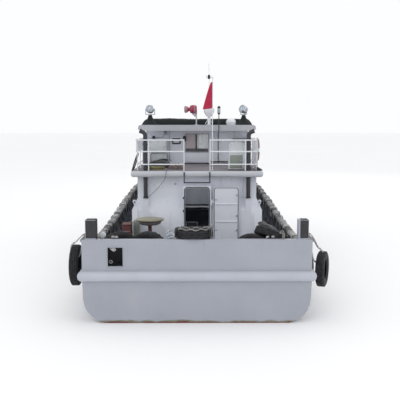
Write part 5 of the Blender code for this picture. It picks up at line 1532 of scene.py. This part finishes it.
lampProfiles = [
    ([(hair, -0.123), (0.058, -0.1235), (hair, -0.1245)], "chrome", 32),
    ([
        (0.106, -0.092), (0.110, -0.090), (0.1195, 0.0), (0.129, 0.088),
        (0.1285, 0.094), (0.120, 0.110), (0.112, 0.112), (0.111, 0.106),
    ], "chrome", 44),
    ([
        (hair, 0.100), (0.05, 0.103), (0.110, 0.1065),
        (0.110, 0.109), (0.05, 0.1065), (hair, 0.104),
    ], "lens", 44),
    ([(0.128, 0.080), (0.132, 0.082), (0.132, 0.092), (0.128, 0.094)], "seal", 44, True),
]
for height in (-0.06, -0.03, 0.0):
    reach = 0.1225 + 0.12 * (height + 0.03)
    low, high = height - 0.004, height + 0.004
    lampProfiles.append(([(0.10, low), (reach, low), (reach, high), (0.10, high)], "chrome", 44, True))
for side, direction in ((-1, (-0.25, 0.9, 0.2)), (1, (-0.75, -0.55, 0.35))):
    name = sideNames[side]
    lampParts = turnedParts(lampProfiles, at(side * 1.52, 6.42, 5.145), direction)
    addPiece(f"lamp{name.capitalize()}", lampParts, rides=f"{name}_searchlight")

mastTop = {"x": 0.39, "d": 6.28, "bracket": 6.155, "tips": 6.235}
x, d, z = mastTop["x"], mastTop["d"], mastTop["bracket"]
head = [(hair, 0), (0.030, 0), (0.042, 0.03), (0.042, 0.10), (0.025, 0.13), (hair, 0.135)]
roof = [
    lathe(head, at(x - 0.004, d, 6.115), up, "darkLining", 20),
    tube([at(x - 0.085, d, z), at(x + 0.075, d, z)], 0.010, "plastic", 8),
    tube([at(x - 0.085, d, z), at(x - 0.09, d, mastTop["tips"])], 0.008, "plastic", 8),
    tube([at(x + 0.075, d, z), at(x + 0.08, d, mastTop["tips"])], 0.008, "plastic", 8),
    disc(0.10, 0.012, at(x, d, 4.6512), up, "mast", 28),
    disc(0.055, 0.010, at(-0.02, d, 4.6512), up, "mast", 24),
]
roof += turnedParts([
    ([(0.047, 0.045), (0.050, 0.05), (0.050, 0.19), (0.047, 0.195)], "lens", 28, True),
    ([(hair, 0.242), (0.034, 0.244), (0.030, 0.262), (hair, 0.272)], "darkLining", 24),
    ([(0.046, 0.20), (0.053, 0.205), (0.053, 0.225), (0.040, 0.245), (hair, 0.247)], "darkLining", 28),
], at(0.70, 6.02, 4.98), up)
domeRing = [(0.166, 0.055), (0.170, 0.058), (0.170, 0.068), (0.166, 0.071)]
roof.append(lathe(domeRing, at(1.10, 6.275, 4.65), up, "lining", 44, True))
for turn in (0.6, 2.7, 4.8):
    foot = at(x + 0.14 * math.cos(turn), d + 0.13 * math.sin(turn), 4.664)
    top = at(x + 0.03 * math.cos(turn), d + 0.03 * math.sin(turn), 4.86)
    roof.append(tube([foot, top], 0.008, "mast", 8))
roof += turnedParts([
    ([
        (hair, -0.150), (0.05, -0.160), (0.072, -0.196), (0.078, -0.208),
        (0.109, -0.196), (0.1115, -0.190), (0.104, -0.120),
    ], "pinkPaint", 44),
    ([(0.1325, 0.035), (0.1365, 0.04), (0.1365, 0.055), (0.1325, 0.06)], "horn", 44, True),
    ([(0.1325, 0.125), (0.1365, 0.13), (0.1365, 0.145), (0.1325, 0.15)], "pinkPaint", 44, True),
], at(-0.20, 6.28, 5.1503), (1, -0.05, 0.03))
cheek = [(-0.17, 5.035), (-0.155, 4.985), (-0.05, 4.90), (-0.035, 4.90), (-0.035, 5.04)]
roof.append(plate(cheek, sternY + 6.262, sternY + 6.298, "lining"))
addPiece("roofGear", roof)

print("roof gear ready")

# Foredeck and hull fittings

stud = [(hair, 0), (0.014, 0), (0.014, 0.03), (0.030, 0.034), (0.030, 0.046), (hair, 0.050)]
hatch = [lathe(stud, at(x, 14.24, 1.4705), up, "steel", 18) for x in (-0.33, 0.33)]
handle = ((-0.08, 1.478), (-0.08, 1.515), (0.08, 1.515), (0.08, 1.478))
hatch.append(loopRope([at(x, 14.30, z) for x, z in handle], 0.009, "steel", 30))
hatch.append(frameRing((0.0, sternY + 14.53), (0.31, 0.29), 0.022, 1.4705, 1.486, "mast", 2, 0.05))
addPiece("hatchFittings", hatch, rides="forepeak_hatch")

drum = {"d": 16.2, "foot": 1.32, "whelp": ((1.43, 0.136), (1.56, 0.120), (1.66, 0.1496))}
whelps = []
for turn in np.arange(8) * math.pi / 4:
    spoke = np.array((math.cos(turn), math.sin(turn), 0))
    bar = [at(0, drum["d"], z) + spoke * reach for z, reach in drum["whelp"]]
    whelps.append(tube(bar, 0.011, "steel", 8))
drumTop = [(hair, 0.42), (0.168, 0.4205), (0.150, 0.437), (0.04, 0.442), (hair, 0.442)]
whelps.append(lathe(drumTop, at(0, drum["d"], drum["foot"]), up, "steel", 36))
addPiece("capstanWhelps", whelps, rides="capstan_drum")

anodes = []
for side in (-1, 1):
    for d in (3.0, 6.0, 9.0):
        x = sorted((side * 1.0, side * 1.10))
        anodes.append(box(x, (d, d + 0.30), (-1.046, -0.955), "zinc", 0.02, 3))
    x = side * 1.15
    anodes.append(box((x - 0.055, x + 0.055), (0.66, 0.86), (-0.72, -0.60), "zinc", 0.02, 3))
addPiece("hullAnodes", anodes)

print("foredeck ready")
